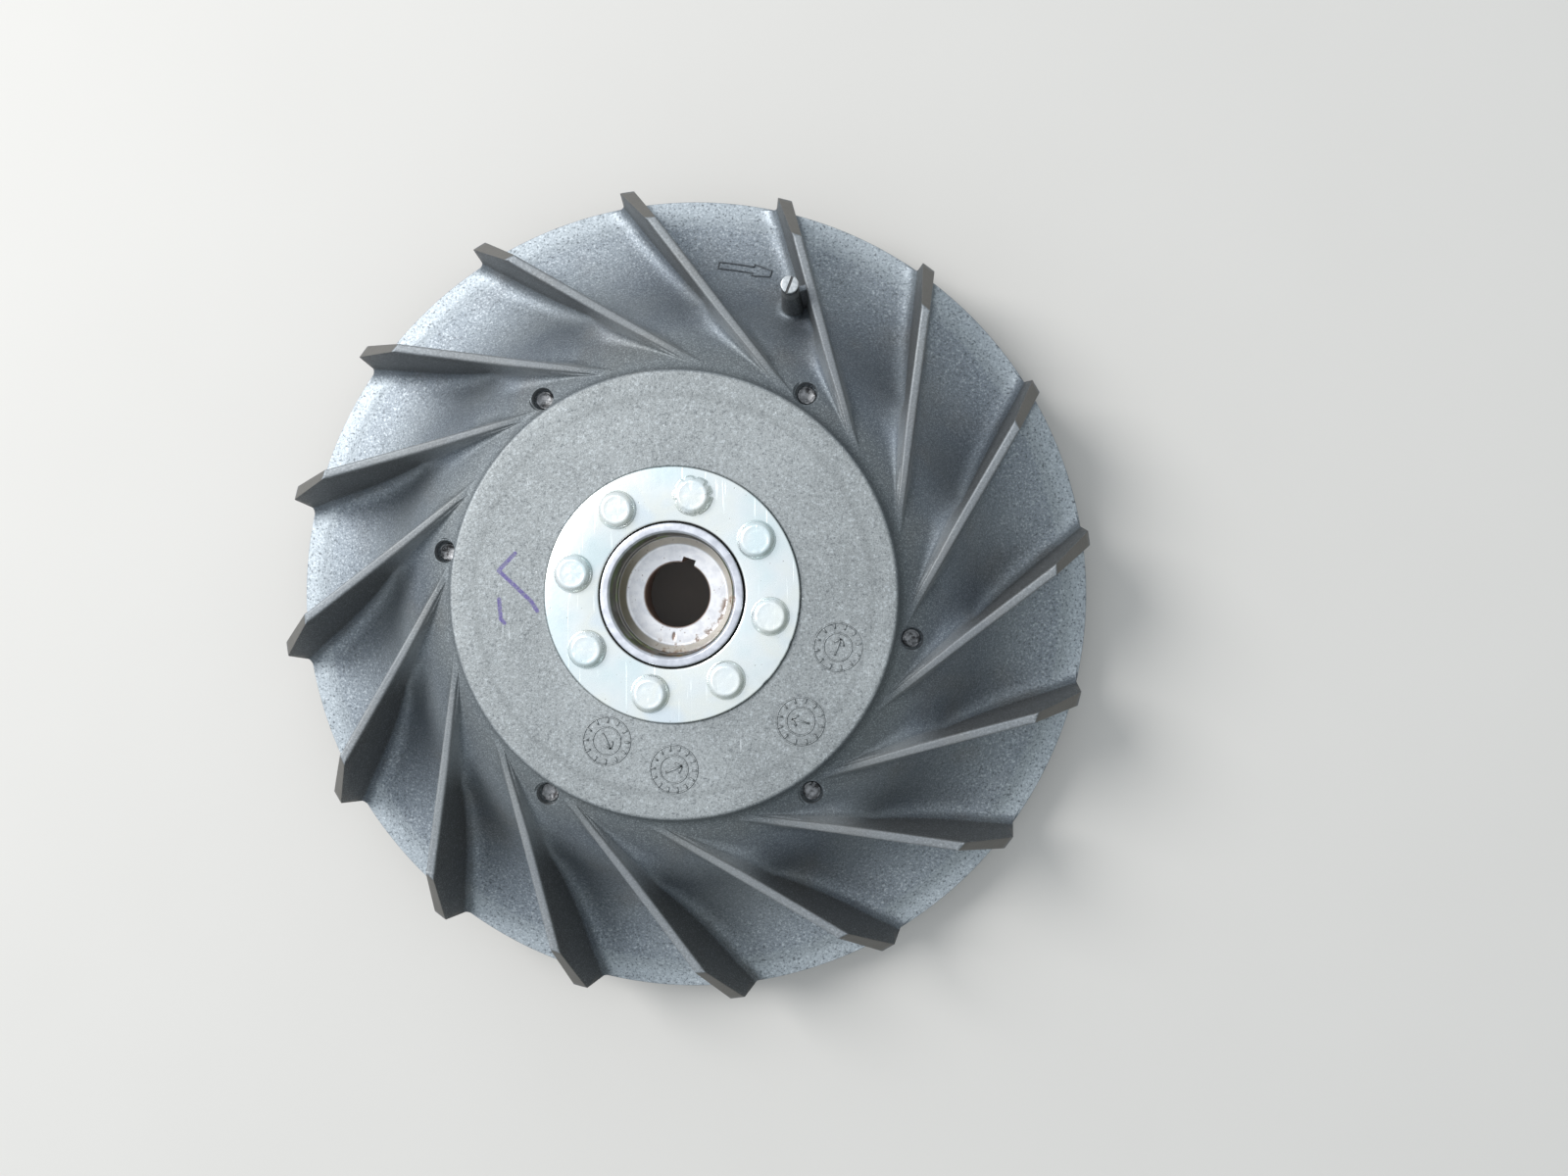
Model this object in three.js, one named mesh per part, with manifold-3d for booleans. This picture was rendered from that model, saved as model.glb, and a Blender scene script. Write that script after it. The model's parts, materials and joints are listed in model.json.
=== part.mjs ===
// Flywheel of a small air-cooled engine: a cast fan with its steel taper hub, magnet ring and rivets.
// Millimetres, +Z up. The origin is on the axis, in the plane of the skirt's rear edge, on which the
// flywheel stands with its fan side up. The fan turns clockwise as seen from above.
import * as THREE from 'three';
import { ConvexGeometry } from 'three/addons/geometries/ConvexGeometry.js';
import { mergeVertices } from 'three/addons/utils/BufferGeometryUtils.js';
import Module from 'manifold-3d';

const wasm = await Module();
wasm.setup();

// Disc and its flare, front side. Slopes are the fall of the surface, outwards, in degrees.
const discRadius = 98;
const rimZ = 12;            // front corner of the rim above the standing plane
const rimThickness = 2.6;
const rimBandWidth = 4;     // turned band along the rim
const rimBandRise = 0.7;
const flareEndInset = 5;    // the flare ends this far inside the rim
const flareEndRise = 2.1;   // and this far above the rim's corner
const flareEndSlope = 6;
const steepestRun = 15.76;  // from the dome's foot to where the flare is steepest
const steepestSlope = 52;
const footSlope = 24.7;
const discWall = 3.2;

// Dome
const domeRadius = 50.2;
const domeRise = 5.2;       // its top above its foot
const domeDraft = 0.3;
const domeEdge = 0.9;       // rounding of the dome's top edge
const footFillet = 3;
const footWallSlope = 87;   // the foot's fillet ends here, against the dome's wall
const domeWall = 4.4;
const domeRoof = 3.85;      // between the rivet plate and the hub's flange
const ceilingFillet = 2;

// Blades
const bladeCount = 16;
const firstBladeAngle = 99.4;   // direction of the first blade's outer corner
const bladeStartInset = 0.7;    // inner end outside the dome's foot
const bladeStartAngle = -37.4;  // direction of the inner end from that of the outer corner
const bladeLean = 28.1;         // from the radius at the outer corner to the blade
const bladeDrop = 0.2;          // crest below the dome's foot
const bladeCrest = 1.7;         // thickness along the top
const bladeCentre = 0.7;        // middle of the blade beside the line through its inner end
const bladeDraft = 0.036;       // growth of each side per millimetre of depth
const crestBevel = 0.45;
const tipShoulderInset = 12.4;  // the turned chamfer of the fan starts this far inside the rim
const tipCornerInset = 1.8;     // and ends this far inside it
const tipChamferDepth = 12;
const rimInset = 0.05;          // blade ends stay this far inside the rim

// Steel hub
const hubRadius = 15.92;
const hubProud = 0.55;          // lip above the rivet plate
const hubFlangeMargin = 5.65;   // flange past the rivets' circle
const hubFlangeThickness = 4;
const hubWall = 2.42;           // outside the crests of the puller thread
const recessDepth = 10.2;       // lip to nut seat
const recessStep = 0.2;         // recess below the thread, inside its crests
const seatBevel = 1.8;          // cone between the recess and the nut seat
const threadLength = 6;
const threadBevel = 0.6;
const undercutDepth = 0.8;
const undercutHeight = 1.2;
const hubEdge = 0.5;
const taperLength = 25.8;
const taperSmallRadius = 7.42;
const taperPerMm = 0.1;         // a taper of one in five, on the radius
const keyWidth = 3;
const keyDepth = 1.33;
const keyAngle = 71;

// Rivet plate and hub rivets
const plateThickness = 2;
const plateProud = 0.85;        // above the dome's top
const plateMargin = 6.05;       // past the rivets' circle
const plateEdge = 0.3;
const hubRivetCount = 8;
const hubRivetInset = 6.45;     // rivets' circle outside the hub
const hubRivetAngle = 77.8;
const hubRivetShank = 2.5;
const hubRivetHead = 4.4;
const hubRivetHeadHeight = 2.1;

// Magnet ring: a drawn steel ring with six magnets inside it
const yokeMargin = 8.76;        // outer radius outside the dome's foot
const yokeWall = 3.2;
const yokeInset = 3.5;          // rear edge inside the skirt's
const yokeRoof = 5.8;           // casting over the ring, at its rivets
const yokeCorner = 5;
const yokeInnerCorner = 0.6;
const yokeFlangeWidth = 10.6;
const magnetCount = 6;
const magnetThickness = 7.65;
const magnetTopGap = 2.3;       // below the ring's flange
const magnetSpan = 52;          // degrees of arc
const magnetAngle = 57;
const magnetInset = 1.5;        // magnets above the ring's rear edge

// Skirt that holds the magnet ring
const skirtWall = 4.9;
const skirtChamfer = 0.6;

// Rivets of the magnet ring, on the pitch of the blades
const ringRivetInset = 6.6;     // their circle inside the yoke's outer radius
const ringRivetAngle = 57;
const ringRivetPitches = [0, 3, 5, 8, 11, 13];
const ringRivetShank = 1.6;
const ringRivetTail = 2.1;      // upset end, sunk in its counterbore
const ringRivetTailDepth = 1.9; // its top below the surface around it
const ringRivetTailHeight = 1.2;
const ringRivetHead = 2.7;
const ringRivetHeadHeight = 1.7;
const counterboreRadius = 2.6;

// Slotted peg in its cast post
const pegCircle = 73.4;
const pegAngle = 69.2;
const pegHeadRadius = 2;
const pegShankRadius = 1.3;
const pegHeadHeight = 2.8;      // head above the post
const pegDepth = 12;            // length in the post
const pegEdge = 0.25;
const pegSlotWidth = 0.6;
const pegSlotDepth = 0.8;
const pegSlotAngle = 76;
const postRise = 2.4;           // above the blades' crest
const postWall = 0.7;           // around the shank
const postFlare = 0.65;         // growth of its radius towards its base
const postWebWidth = 1.6;
const postWebLength = 3.35;     // past the post's top radius, into the blade
const postWebDrop = 1;          // web below the blades' crest

// Clearances
const fitGap = 0.12;            // round a part in its hole or seat
const overlap = 1;              // how far a cutting body runs past a face

// Facets of the turned bodies
const fullTurn = 48;
const hubFacets = 32;
const rivetFacets = 12;
const smallFacets = 10;
const cornerSteps = 4;          // of the yoke's outer corner, and of the seat it fits

const radians = THREE.MathUtils.degToRad;
const v2 = (x, y) => new THREE.Vector2(x, y);

// Solids ----------------------------------------------------------------------------------------

function solid(geometry) {
  const bare = geometry.index ? geometry.toNonIndexed() : geometry.clone();
  bare.deleteAttribute('normal');
  bare.deleteAttribute('uv');
  const merged = mergeVertices(bare, 1e-5);
  return new wasm.Manifold(new wasm.Mesh({
    numProp: 3,
    vertProperties: new Float32Array(merged.attributes.position.array),
    triVerts: new Uint32Array(merged.index.array),
  }));
}

function geometryOf(manifold) {
  const mesh = manifold.getMesh();
  const geometry = new THREE.BufferGeometry();
  geometry.setAttribute('position', new THREE.BufferAttribute(new Float32Array(mesh.vertProperties), 3));
  geometry.setIndex(new THREE.BufferAttribute(new Uint32Array(mesh.triVerts), 1));
  return geometry;
}

// A body turned about Z from (r, z) points. The outline runs up the outside, or closes on itself.
function turned(points, facets, angle = 0) {
  const geometry = new THREE.LatheGeometry(points, facets);
  geometry.rotateX(Math.PI / 2);
  geometry.rotateZ(radians(angle));
  return solid(geometry);
}

// A closed ring section is given outer side first, going up; its first point is repeated at the end.
function turnedRing(points, facets, angle = 0) {
  return turned([...points, points[0].clone()], facets, angle);
}

function cylinder(radius, z0, z1, facets, angle = 0) {
  return turned([v2(0, z0), v2(radius, z0), v2(radius, z1), v2(0, z1)], facets, angle);
}

function polar(radius, angle) {
  return v2(radius * Math.cos(radians(angle)), radius * Math.sin(radians(angle)));
}

// Points of a round stretch whose slope changes from one angle to another between two radii.
function slopeArc(r0, z0, slope0, r1, slope1, steps, offset = 0) {
  const s0 = Math.sin(radians(slope0));
  const s1 = Math.sin(radians(slope1));
  const radius = (r1 - r0) / (s1 - s0);
  const points = [];
  for (let i = 0; i <= steps; i += 1) {
    const slope = radians(slope0 + (slope1 - slope0) * i / steps);
    const r = r0 + radius * (Math.sin(slope) - s0);
    const z = z0 - radius * (Math.cos(radians(slope0)) - Math.cos(slope));
    points.push(v2(r - offset * Math.sin(slope), z - offset * Math.cos(slope)));
  }
  return points;
}

function slopeArcDrop(r0, slope0, r1, slope1) {
  const radius = (r1 - r0) / (Math.sin(radians(slope1)) - Math.sin(radians(slope0)));
  return radius * (Math.cos(radians(slope0)) - Math.cos(radians(slope1)));
}

// A quarter turn between two straight stretches, seen in the (r, z) plane.
function corner(centreR, centreZ, radius, from, to, steps) {
  const points = [];
  for (let i = 0; i <= steps; i += 1) {
    const a = radians(from + (to - from) * i / steps);
    points.push(v2(centreR + radius * Math.cos(a), centreZ + radius * Math.sin(a)));
  }
  return points;
}

// Places that follow from the sizes ---------------------------------------------------------------

const flareEndRadius = discRadius - flareEndInset;
const footRadius = domeRadius + domeDraft
  + footFillet * (Math.sin(radians(footWallSlope)) - Math.sin(radians(footSlope)));
const steepestRadius = footRadius + steepestRun;
const saddleZ = rimZ + flareEndRise
  + slopeArcDrop(steepestRadius, steepestSlope, flareEndRadius, flareEndSlope);
const footZ = saddleZ + slopeArcDrop(footRadius, footSlope, steepestRadius, steepestSlope);
const domeTop = footZ + domeRise;
const plateTop = domeTop + plateProud;
const plateBottom = plateTop - plateThickness;
const domeCeiling = plateBottom - domeRoof;
const flangeBottom = domeCeiling - hubFlangeThickness;
const hubRivetCircle = hubRadius + hubRivetInset;
const hubFlangeRadius = hubRivetCircle + hubFlangeMargin;
const plateRadius = hubRivetCircle + plateMargin;
const hubLip = plateTop + hubProud;
const seatZ = hubLip - recessDepth;
const hubBack = seatZ - taperLength;
const yokeRadius = footRadius + yokeMargin;
const ringRivetCircle = yokeRadius - ringRivetInset;
const ringRivetSurface = heightAt(flare(0), ringRivetCircle);
const ringRivetTop = ringRivetSurface - ringRivetTailDepth;
const yokeTop = ringRivetSurface - yokeRoof;
const yokeInner = yokeRadius - yokeWall;
const yokeFlangeZ = yokeTop - yokeWall;
const skirtInner = yokeRadius + fitGap;
const skirtOuter = skirtInner + skirtWall;
const threadRadius = hubRadius - hubWall;
const recessRadius = threadRadius - recessStep;
const bladeTop = footZ - bladeDrop;
const postTop = bladeTop + postRise;
const postTopRadius = pegShankRadius + postWall;
const pegTop = postTop + pegHeadHeight;
const pegSeat = postTop - pegDepth;

// Fan casting -----------------------------------------------------------------------------------


// Front surface from the rim to the dome's foot, moved inwards by offset for the rear surface.
function flare(offset) {
  const shoulder = slopeArc(footRadius, footZ, footSlope, steepestRadius, steepestSlope, 4, offset);
  const outer = slopeArc(steepestRadius, saddleZ, steepestSlope, flareEndRadius, flareEndSlope, 4, offset);
  return [...shoulder, ...outer.slice(1)];
}

function castingOutline() {
  const footTop = footZ + slopeArcDrop(domeRadius + domeDraft, footWallSlope, footRadius, footSlope);
  const foot = slopeArc(domeRadius + domeDraft, footTop, footWallSlope, footRadius, footSlope, 3);
  const front = [
    v2(discRadius, rimZ - rimThickness),
    v2(discRadius, rimZ),
    v2(discRadius - rimBandWidth, rimZ + rimBandRise),
    ...flare(0).reverse(),
    ...foot.reverse().slice(1),
    ...corner(domeRadius - domeEdge, domeTop - domeEdge, domeEdge, 0, 90, 2),
    v2(plateRadius + fitGap, domeTop),
    v2(plateRadius + fitGap, plateBottom),
    v2(hubRadius + fitGap, plateBottom),
  ];
  const seatCorner = yokeRadius - yokeCorner;
  const inside = [
    v2(hubRadius + fitGap, domeCeiling),
    ...corner(domeRadius - domeWall - ceilingFillet, domeCeiling - ceilingFillet, ceilingFillet, 90, 0, 2),
    v2(domeRadius - domeWall, yokeTop + skirtChamfer),
    v2(domeRadius - domeWall + skirtChamfer, yokeTop),
    v2(seatCorner, yokeTop),
    ...corner(seatCorner + fitGap, yokeTop - yokeCorner, yokeCorner, 90, 0, cornerSteps).slice(1),
  ];
  const skirt = [
    v2(skirtInner, skirtChamfer),
    v2(skirtInner + skirtChamfer, 0),
    v2(skirtOuter - skirtChamfer, 0),
    v2(skirtOuter, skirtChamfer),
  ];
  const rear = flare(discWall);
  skirt.push(v2(skirtOuter, heightAt(rear, skirtOuter)));
  return [...front, ...inside, ...skirt, ...rear.filter((p) => p.x > skirtOuter + skirtChamfer)];
}

// Height of a polyline at a radius, for points that run outwards.
function heightAt(points, radius) {
  const i = points.findIndex((p) => p.x > radius);
  const [a, b] = [points[i - 1], points[i]];
  return a.y + (b.y - a.y) * (radius - a.x) / (b.x - a.x);
}

// Everything below the middle of the disc's wall. Blades and post are cut off there.
function belowDisc() {
  const middle = flare(discWall / 2);
  return turned([
    v2(0, -overlap), v2(discRadius - rimBandWidth, -overlap),
    v2(discRadius - rimBandWidth, rimZ - rimThickness / 2), ...middle.reverse(),
    v2(0, footZ - discWall / 2),
  ], fullTurn);
}

// The turned outer shape of the fan, which the blade ends follow.
function fanEnvelope() {
  const low = rimZ - rimThickness / 2;
  return turned([
    v2(0, low), v2(discRadius - rimInset, low), v2(discRadius - rimInset, rimZ),
    v2(discRadius - tipCornerInset, bladeTop - tipChamferDepth),
    v2(discRadius - tipShoulderInset, bladeTop), v2(discRadius - tipShoulderInset, bladeTop + overlap),
    v2(0, bladeTop + overlap),
  ], fullTurn);
}

function bladeBlock(index) {
  const lean = radians(bladeLean);
  const start = polar(footRadius + bladeStartInset, bladeStartAngle);
  const points = [];
  const place = (along, across, z) => {
    const x = start.x + along * Math.cos(lean) - across * Math.sin(lean);
    const y = start.y + along * Math.sin(lean) + across * Math.cos(lean);
    points.push(new THREE.Vector3(x, y, z));
  };
  const depth = bladeTop - rimZ + rimThickness / 2;
  for (const along of [-overlap, discRadius]) {
    for (const side of [-1, 1]) {
      const half = bladeCrest / 2;
      place(along, bladeCentre + side * (half - crestBevel), bladeTop);
      place(along, bladeCentre + side * half, bladeTop - crestBevel);
      place(along, bladeCentre + side * (half + bladeDraft * depth), bladeTop - depth);
    }
  }
  const geometry = new ConvexGeometry(points);
  geometry.rotateZ(radians(firstBladeAngle - 360 / bladeCount * index));
  return solid(geometry);
}

// Cast post of the peg, with the web that ties it to the blade beside it.
function pegPost() {
  const base = rimZ;
  const post = turned([
    v2(0, base), v2(postTopRadius + postFlare, base), v2(postTopRadius, postTop), v2(0, postTop),
  ], smallFacets);
  const webTop = bladeTop - postWebDrop;
  const webLength = postTopRadius + postWebLength;
  const web = new THREE.BoxGeometry(webLength, postWebWidth, webTop - base);
  web.translate(webLength / 2, 0, (webTop + base) / 2);
  web.rotateZ(radians(firstBladeAngle - 360 / bladeCount + bladeLean - 90));
  const at = polar(pegCircle, pegAngle);
  return post.add(solid(web)).translate([at.x, at.y, 0]);
}

function ringRivetAngles() {
  return ringRivetPitches.map((pitch) => ringRivetAngle - pitch * 360 / bladeCount);
}

function fanCasting() {
  let fan = bladeBlock(0);
  for (let i = 1; i < bladeCount; i += 1) fan = fan.add(bladeBlock(i));
  const raised = fan.intersect(fanEnvelope()).add(pegPost()).subtract(belowDisc());
  let casting = turnedRing(castingOutline(), fullTurn).add(raised);
  for (let i = 0; i < hubRivetCount; i += 1) {
    const at = polar(hubRivetCircle, hubRivetAngle + 360 / hubRivetCount * i);
    const hole = cylinder(hubRivetShank + fitGap, domeCeiling - overlap, domeTop + overlap, rivetFacets);
    casting = casting.subtract(hole.translate([at.x, at.y, 0]));
  }
  for (const angle of ringRivetAngles()) {
    const at = polar(ringRivetCircle, angle);
    const drill = cylinder(ringRivetShank + fitGap, yokeTop - overlap, domeTop, smallFacets);
    const bore = cylinder(counterboreRadius, ringRivetTop - ringRivetTailHeight, domeTop, smallFacets);
    casting = casting.subtract(drill.add(bore).translate([at.x, at.y, 0]));
  }
  const at = polar(pegCircle, pegAngle);
  const pegHole = cylinder(pegShankRadius + fitGap, pegSeat, postTop + overlap, smallFacets);
  return casting.subtract(pegHole.translate([at.x, at.y, 0]));
}

// Steel hub -------------------------------------------------------------------------------------

function steelHub() {
  const flangeTop = domeCeiling;
  const bigEnd = taperSmallRadius + taperLength * taperPerMm;
  const threadBottom = hubLip - threadLength;
  const undercutBottom = threadBottom - undercutHeight;
  let hub = turnedRing([
    v2(bigEnd, hubBack), v2(hubRadius - hubEdge, hubBack), v2(hubRadius, hubBack + hubEdge),
    v2(hubRadius, flangeBottom), v2(hubFlangeRadius - hubEdge, flangeBottom),
    v2(hubFlangeRadius, flangeBottom + hubEdge), v2(hubFlangeRadius, flangeTop),
    v2(hubRadius, flangeTop), v2(hubRadius, hubLip - hubEdge), v2(hubRadius - hubEdge, hubLip),
    v2(threadRadius + threadBevel, hubLip), v2(threadRadius, hubLip - threadBevel),
    v2(threadRadius, threadBottom), v2(threadRadius + undercutDepth, threadBottom),
    v2(threadRadius + undercutDepth, undercutBottom), v2(recessRadius, undercutBottom),
    v2(recessRadius, seatZ + seatBevel), v2(recessRadius - seatBevel, seatZ),
    v2(taperSmallRadius, seatZ),
  ], hubFacets);
  for (let i = 0; i < hubRivetCount; i += 1) {
    const at = polar(hubRivetCircle, hubRivetAngle + 360 / hubRivetCount * i);
    const hole = cylinder(hubRivetShank + fitGap, flangeBottom - overlap, flangeTop + overlap, rivetFacets);
    hub = hub.subtract(hole.translate([at.x, at.y, 0]));
  }
  return hub.subtract(keyway());
}

// The keyway runs along the taper at a constant depth.
function keyway() {
  const small = taperSmallRadius + keyDepth;
  const topRadius = small - overlap * taperPerMm;
  const backRadius = small + (seatZ - hubBack + overlap) * taperPerMm;
  const section = new THREE.Shape([
    v2(0, seatZ + overlap), v2(0, hubBack - overlap), v2(backRadius, hubBack - overlap),
    v2(topRadius, seatZ + overlap),
  ]);
  const slot = new THREE.ExtrudeGeometry(section, { depth: keyWidth, bevelEnabled: false });
  slot.translate(0, 0, -keyWidth / 2);
  slot.rotateX(Math.PI / 2);
  slot.rotateZ(radians(keyAngle));
  return solid(slot);
}

// Rivet plate and rivets ------------------------------------------------------------------------

function rivetPlate() {
  const inner = hubRadius + 2 * fitGap;
  let plate = turnedRing([
    v2(inner, plateBottom), v2(plateRadius, plateBottom), v2(plateRadius, plateTop - plateEdge),
    v2(plateRadius - plateEdge, plateTop), v2(inner, plateTop),
  ], fullTurn);
  for (let i = 0; i < hubRivetCount; i += 1) {
    const at = polar(hubRivetCircle, hubRivetAngle + 360 / hubRivetCount * i);
    const hole = cylinder(hubRivetShank + fitGap, plateBottom - overlap, plateTop + overlap, rivetFacets);
    plate = plate.subtract(hole.translate([at.x, at.y, 0]));
  }
  return plate;
}

function hubRivet(index) {
  const top = plateTop;
  const bottom = flangeBottom;
  const h = hubRivetHeadHeight;
  const flat = hubRivetHead * 0.62;
  const at = polar(hubRivetCircle, hubRivetAngle - 360 / hubRivetCount * index);
  return turned([
    v2(0, bottom - h), v2(flat, bottom - h), v2(hubRivetHead * 0.92, bottom - h * 0.6),
    v2(hubRivetHead, bottom), v2(hubRivetShank, bottom), v2(hubRivetShank, top),
    v2(hubRivetHead, top), v2(hubRivetHead * 0.92, top + h * 0.6), v2(flat, top + h), v2(0, top + h),
  ], rivetFacets).translate([at.x, at.y, 0]);
}

// Magnet ring -----------------------------------------------------------------------------------

function yokeRing() {
  const centre = yokeRadius - yokeCorner;
  const cornerZ = yokeTop - yokeCorner;
  const flangeInner = yokeRadius - yokeFlangeWidth;
  let ring = turnedRing([
    v2(yokeInner, yokeInset), v2(yokeRadius, yokeInset),
    ...corner(centre, cornerZ, yokeCorner, 0, 90, cornerSteps),
    v2(flangeInner, yokeTop), v2(flangeInner, yokeFlangeZ),
    v2(yokeInner - yokeInnerCorner, yokeFlangeZ), v2(yokeInner, yokeFlangeZ - yokeInnerCorner),
  ], fullTurn);
  for (const angle of ringRivetAngles()) {
    const at = polar(ringRivetCircle, angle);
    const hole = cylinder(ringRivetShank + fitGap, yokeFlangeZ - overlap, yokeTop + overlap, smallFacets);
    ring = ring.subtract(hole.translate([at.x, at.y, 0]));
  }
  return ring;
}

function ringRivet(angle) {
  const flange = yokeFlangeZ;
  const h = ringRivetHeadHeight;
  const tail = ringRivetTop - ringRivetTailHeight;
  const at = polar(ringRivetCircle, angle);
  return turned([
    v2(0, flange - h), v2(ringRivetHead * 0.6, flange - h), v2(ringRivetHead, flange),
    v2(ringRivetShank, flange), v2(ringRivetShank, tail), v2(ringRivetTail, tail),
    v2(ringRivetTail, ringRivetTop - 0.4), v2(ringRivetTail * 0.7, ringRivetTop), v2(0, ringRivetTop),
  ], smallFacets).translate([at.x, at.y, 0]);
}

function magnet(index) {
  const outer = yokeInner * Math.cos(Math.PI / fullTurn) - fitGap;
  const half = radians(magnetSpan / 2);
  const bottom = yokeInset + magnetInset;
  const shape = new THREE.Shape();
  shape.absarc(0, 0, outer, -half, half, false);
  shape.absarc(0, 0, outer - magnetThickness, half, -half, true);
  const block = new THREE.ExtrudeGeometry(shape, {
    depth: yokeFlangeZ - magnetTopGap - bottom, bevelEnabled: false, curveSegments: 10,
  });
  block.translate(0, 0, bottom);
  block.rotateZ(radians(magnetAngle + 360 / magnetCount * index));
  return solid(block);
}

// Slotted peg -----------------------------------------------------------------------------------

function slottedPeg() {
  const peg = turned([
    v2(0, pegSeat), v2(pegShankRadius, pegSeat), v2(pegShankRadius, postTop + fitGap),
    v2(pegHeadRadius, postTop + fitGap), v2(pegHeadRadius, pegTop - pegEdge),
    v2(pegHeadRadius - pegEdge, pegTop), v2(0, pegTop),
  ], rivetFacets);
  const slot = new THREE.BoxGeometry(2 * pegHeadRadius + overlap, pegSlotWidth, 2 * pegSlotDepth);
  slot.translate(0, 0, pegTop);
  slot.rotateZ(radians(pegSlotAngle));
  const at = polar(pegCircle, pegAngle);
  return peg.subtract(solid(slot)).translate([at.x, at.y, 0]);
}

// Assembly --------------------------------------------------------------------------------------

const finishes = {
  castAluminium: { color: 0x8b9499, roughness: 0.55, metalness: 0.7 },
  steel: { color: 0xb4b3b0, roughness: 0.3, metalness: 0.9 },
  zincPlate: { color: 0xd9e2e6, roughness: 0.25, metalness: 0.9 },
  yokeSteel: { color: 0x6f7274, roughness: 0.45, metalness: 0.8 },
  ferrite: { color: 0x33353a, roughness: 0.7, metalness: 0.1 },
};

const flywheel = new THREE.Group();

function addPart(name, body, finish) {
  const mesh = new THREE.Mesh(geometryOf(body), new THREE.MeshStandardMaterial(finishes[finish]));
  mesh.name = name;
  flywheel.add(mesh);
}

addPart('fan_casting', fanCasting(), 'castAluminium');
addPart('steel_hub', steelHub(), 'steel');
addPart('rivet_plate', rivetPlate(), 'zincPlate');
addPart('yoke_ring', yokeRing(), 'yokeSteel');
addPart('slotted_peg', slottedPeg(), 'steel');
for (let i = 0; i < hubRivetCount; i += 1) addPart(`hub_rivet_${i + 1}`, hubRivet(i), 'zincPlate');
for (let i = 0; i < magnetCount; i += 1) addPart(`magnet_${i + 1}`, magnet(i), 'ferrite');
ringRivetAngles().forEach((angle, i) => addPart(`ring_rivet_${i + 1}`, ringRivet(angle), 'steel'));

export default flywheel;
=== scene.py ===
# Fan flywheel of a small engine, seen from its fan side. Metres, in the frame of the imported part.
import json
import math

import bmesh
import bpy
import numpy as np
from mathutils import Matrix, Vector, noise

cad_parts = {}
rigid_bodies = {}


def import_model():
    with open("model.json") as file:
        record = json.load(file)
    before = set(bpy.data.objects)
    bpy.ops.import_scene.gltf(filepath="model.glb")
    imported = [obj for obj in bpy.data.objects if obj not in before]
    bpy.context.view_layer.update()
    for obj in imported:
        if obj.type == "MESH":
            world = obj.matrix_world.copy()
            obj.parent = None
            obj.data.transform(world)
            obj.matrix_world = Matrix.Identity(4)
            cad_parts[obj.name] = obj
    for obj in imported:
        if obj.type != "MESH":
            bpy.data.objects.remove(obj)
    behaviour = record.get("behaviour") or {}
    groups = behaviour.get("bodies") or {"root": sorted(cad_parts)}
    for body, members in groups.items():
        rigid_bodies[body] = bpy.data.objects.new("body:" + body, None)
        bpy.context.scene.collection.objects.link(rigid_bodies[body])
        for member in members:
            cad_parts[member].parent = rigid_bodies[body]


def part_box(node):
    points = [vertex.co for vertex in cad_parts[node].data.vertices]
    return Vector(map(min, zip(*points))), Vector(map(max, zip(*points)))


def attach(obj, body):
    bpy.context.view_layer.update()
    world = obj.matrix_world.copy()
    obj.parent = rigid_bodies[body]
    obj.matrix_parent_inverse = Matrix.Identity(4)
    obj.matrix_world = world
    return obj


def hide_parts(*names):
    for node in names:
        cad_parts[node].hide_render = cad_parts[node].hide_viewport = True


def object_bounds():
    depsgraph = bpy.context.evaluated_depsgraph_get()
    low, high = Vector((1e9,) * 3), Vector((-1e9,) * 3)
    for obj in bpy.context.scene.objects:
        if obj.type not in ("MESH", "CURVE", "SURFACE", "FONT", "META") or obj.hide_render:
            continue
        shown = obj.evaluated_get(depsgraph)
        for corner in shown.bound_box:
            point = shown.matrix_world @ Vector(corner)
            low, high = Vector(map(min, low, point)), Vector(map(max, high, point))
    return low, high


for old in list(bpy.data.objects):    # the start-up cube, lamp and camera
    bpy.data.objects.remove(old)
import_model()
cadLow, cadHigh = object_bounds()
mm = 0.001
turn = 2 * math.pi
rad = math.radians
print("frame loaded")


# Places are taken from the frame, in millimetres.
def nodeBox(name):
    low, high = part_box(name)
    return [v / mm for v in low], [v / mm for v in high]


castHigh = nodeBox("fan_casting")[1]
hubLow, hubHigh = nodeBox("steel_hub")
plateLow, plateHigh = nodeBox("rivet_plate")
yokeLow, yokeHigh = nodeBox("yoke_ring")
pegLow, pegHigh = nodeBox("slotted_peg")
hubRivetNames = [f"hub_rivet_{i}" for i in range(1, 9)]
ringRivetNames = [f"ring_rivet_{i}" for i in range(1, 7)]


def middle(name):
    low, high = nodeBox(name)
    return (low[0] + high[0]) / 2, (low[1] + high[1]) / 2


def smoothMesh(mesh, angle):
    mesh.shade_smooth()
    mesh.set_sharp_from_angle(angle=rad(angle))


def finishObject(name, mesh, material):
    mesh.materials.clear()
    mesh.materials.append(material)
    made = bpy.data.objects.new(name, mesh)
    bpy.context.collection.objects.link(made)
    return made


def meshFrom(name, points, faces):
    mesh = bpy.data.meshes.new(name)
    mesh.from_pydata([tuple(c * mm for c in p) for p in points], [], faces)
    mesh.validate()
    mesh.update()
    return mesh


# A closed grid: rows of points, each row closed on itself, and the last row joined to the first.
def closedGrid(name, rows):
    count = len(rows[0])
    points = [p for row in rows for p in row]
    faces = []
    for i in range(len(rows)):
        below = i * count
        above = (i + 1) % len(rows) * count
        for j in range(count):
            k = (j + 1) % count
            faces.append((below + j, below + k, above + k, above + j))
    return meshFrom(name, points, faces)


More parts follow.
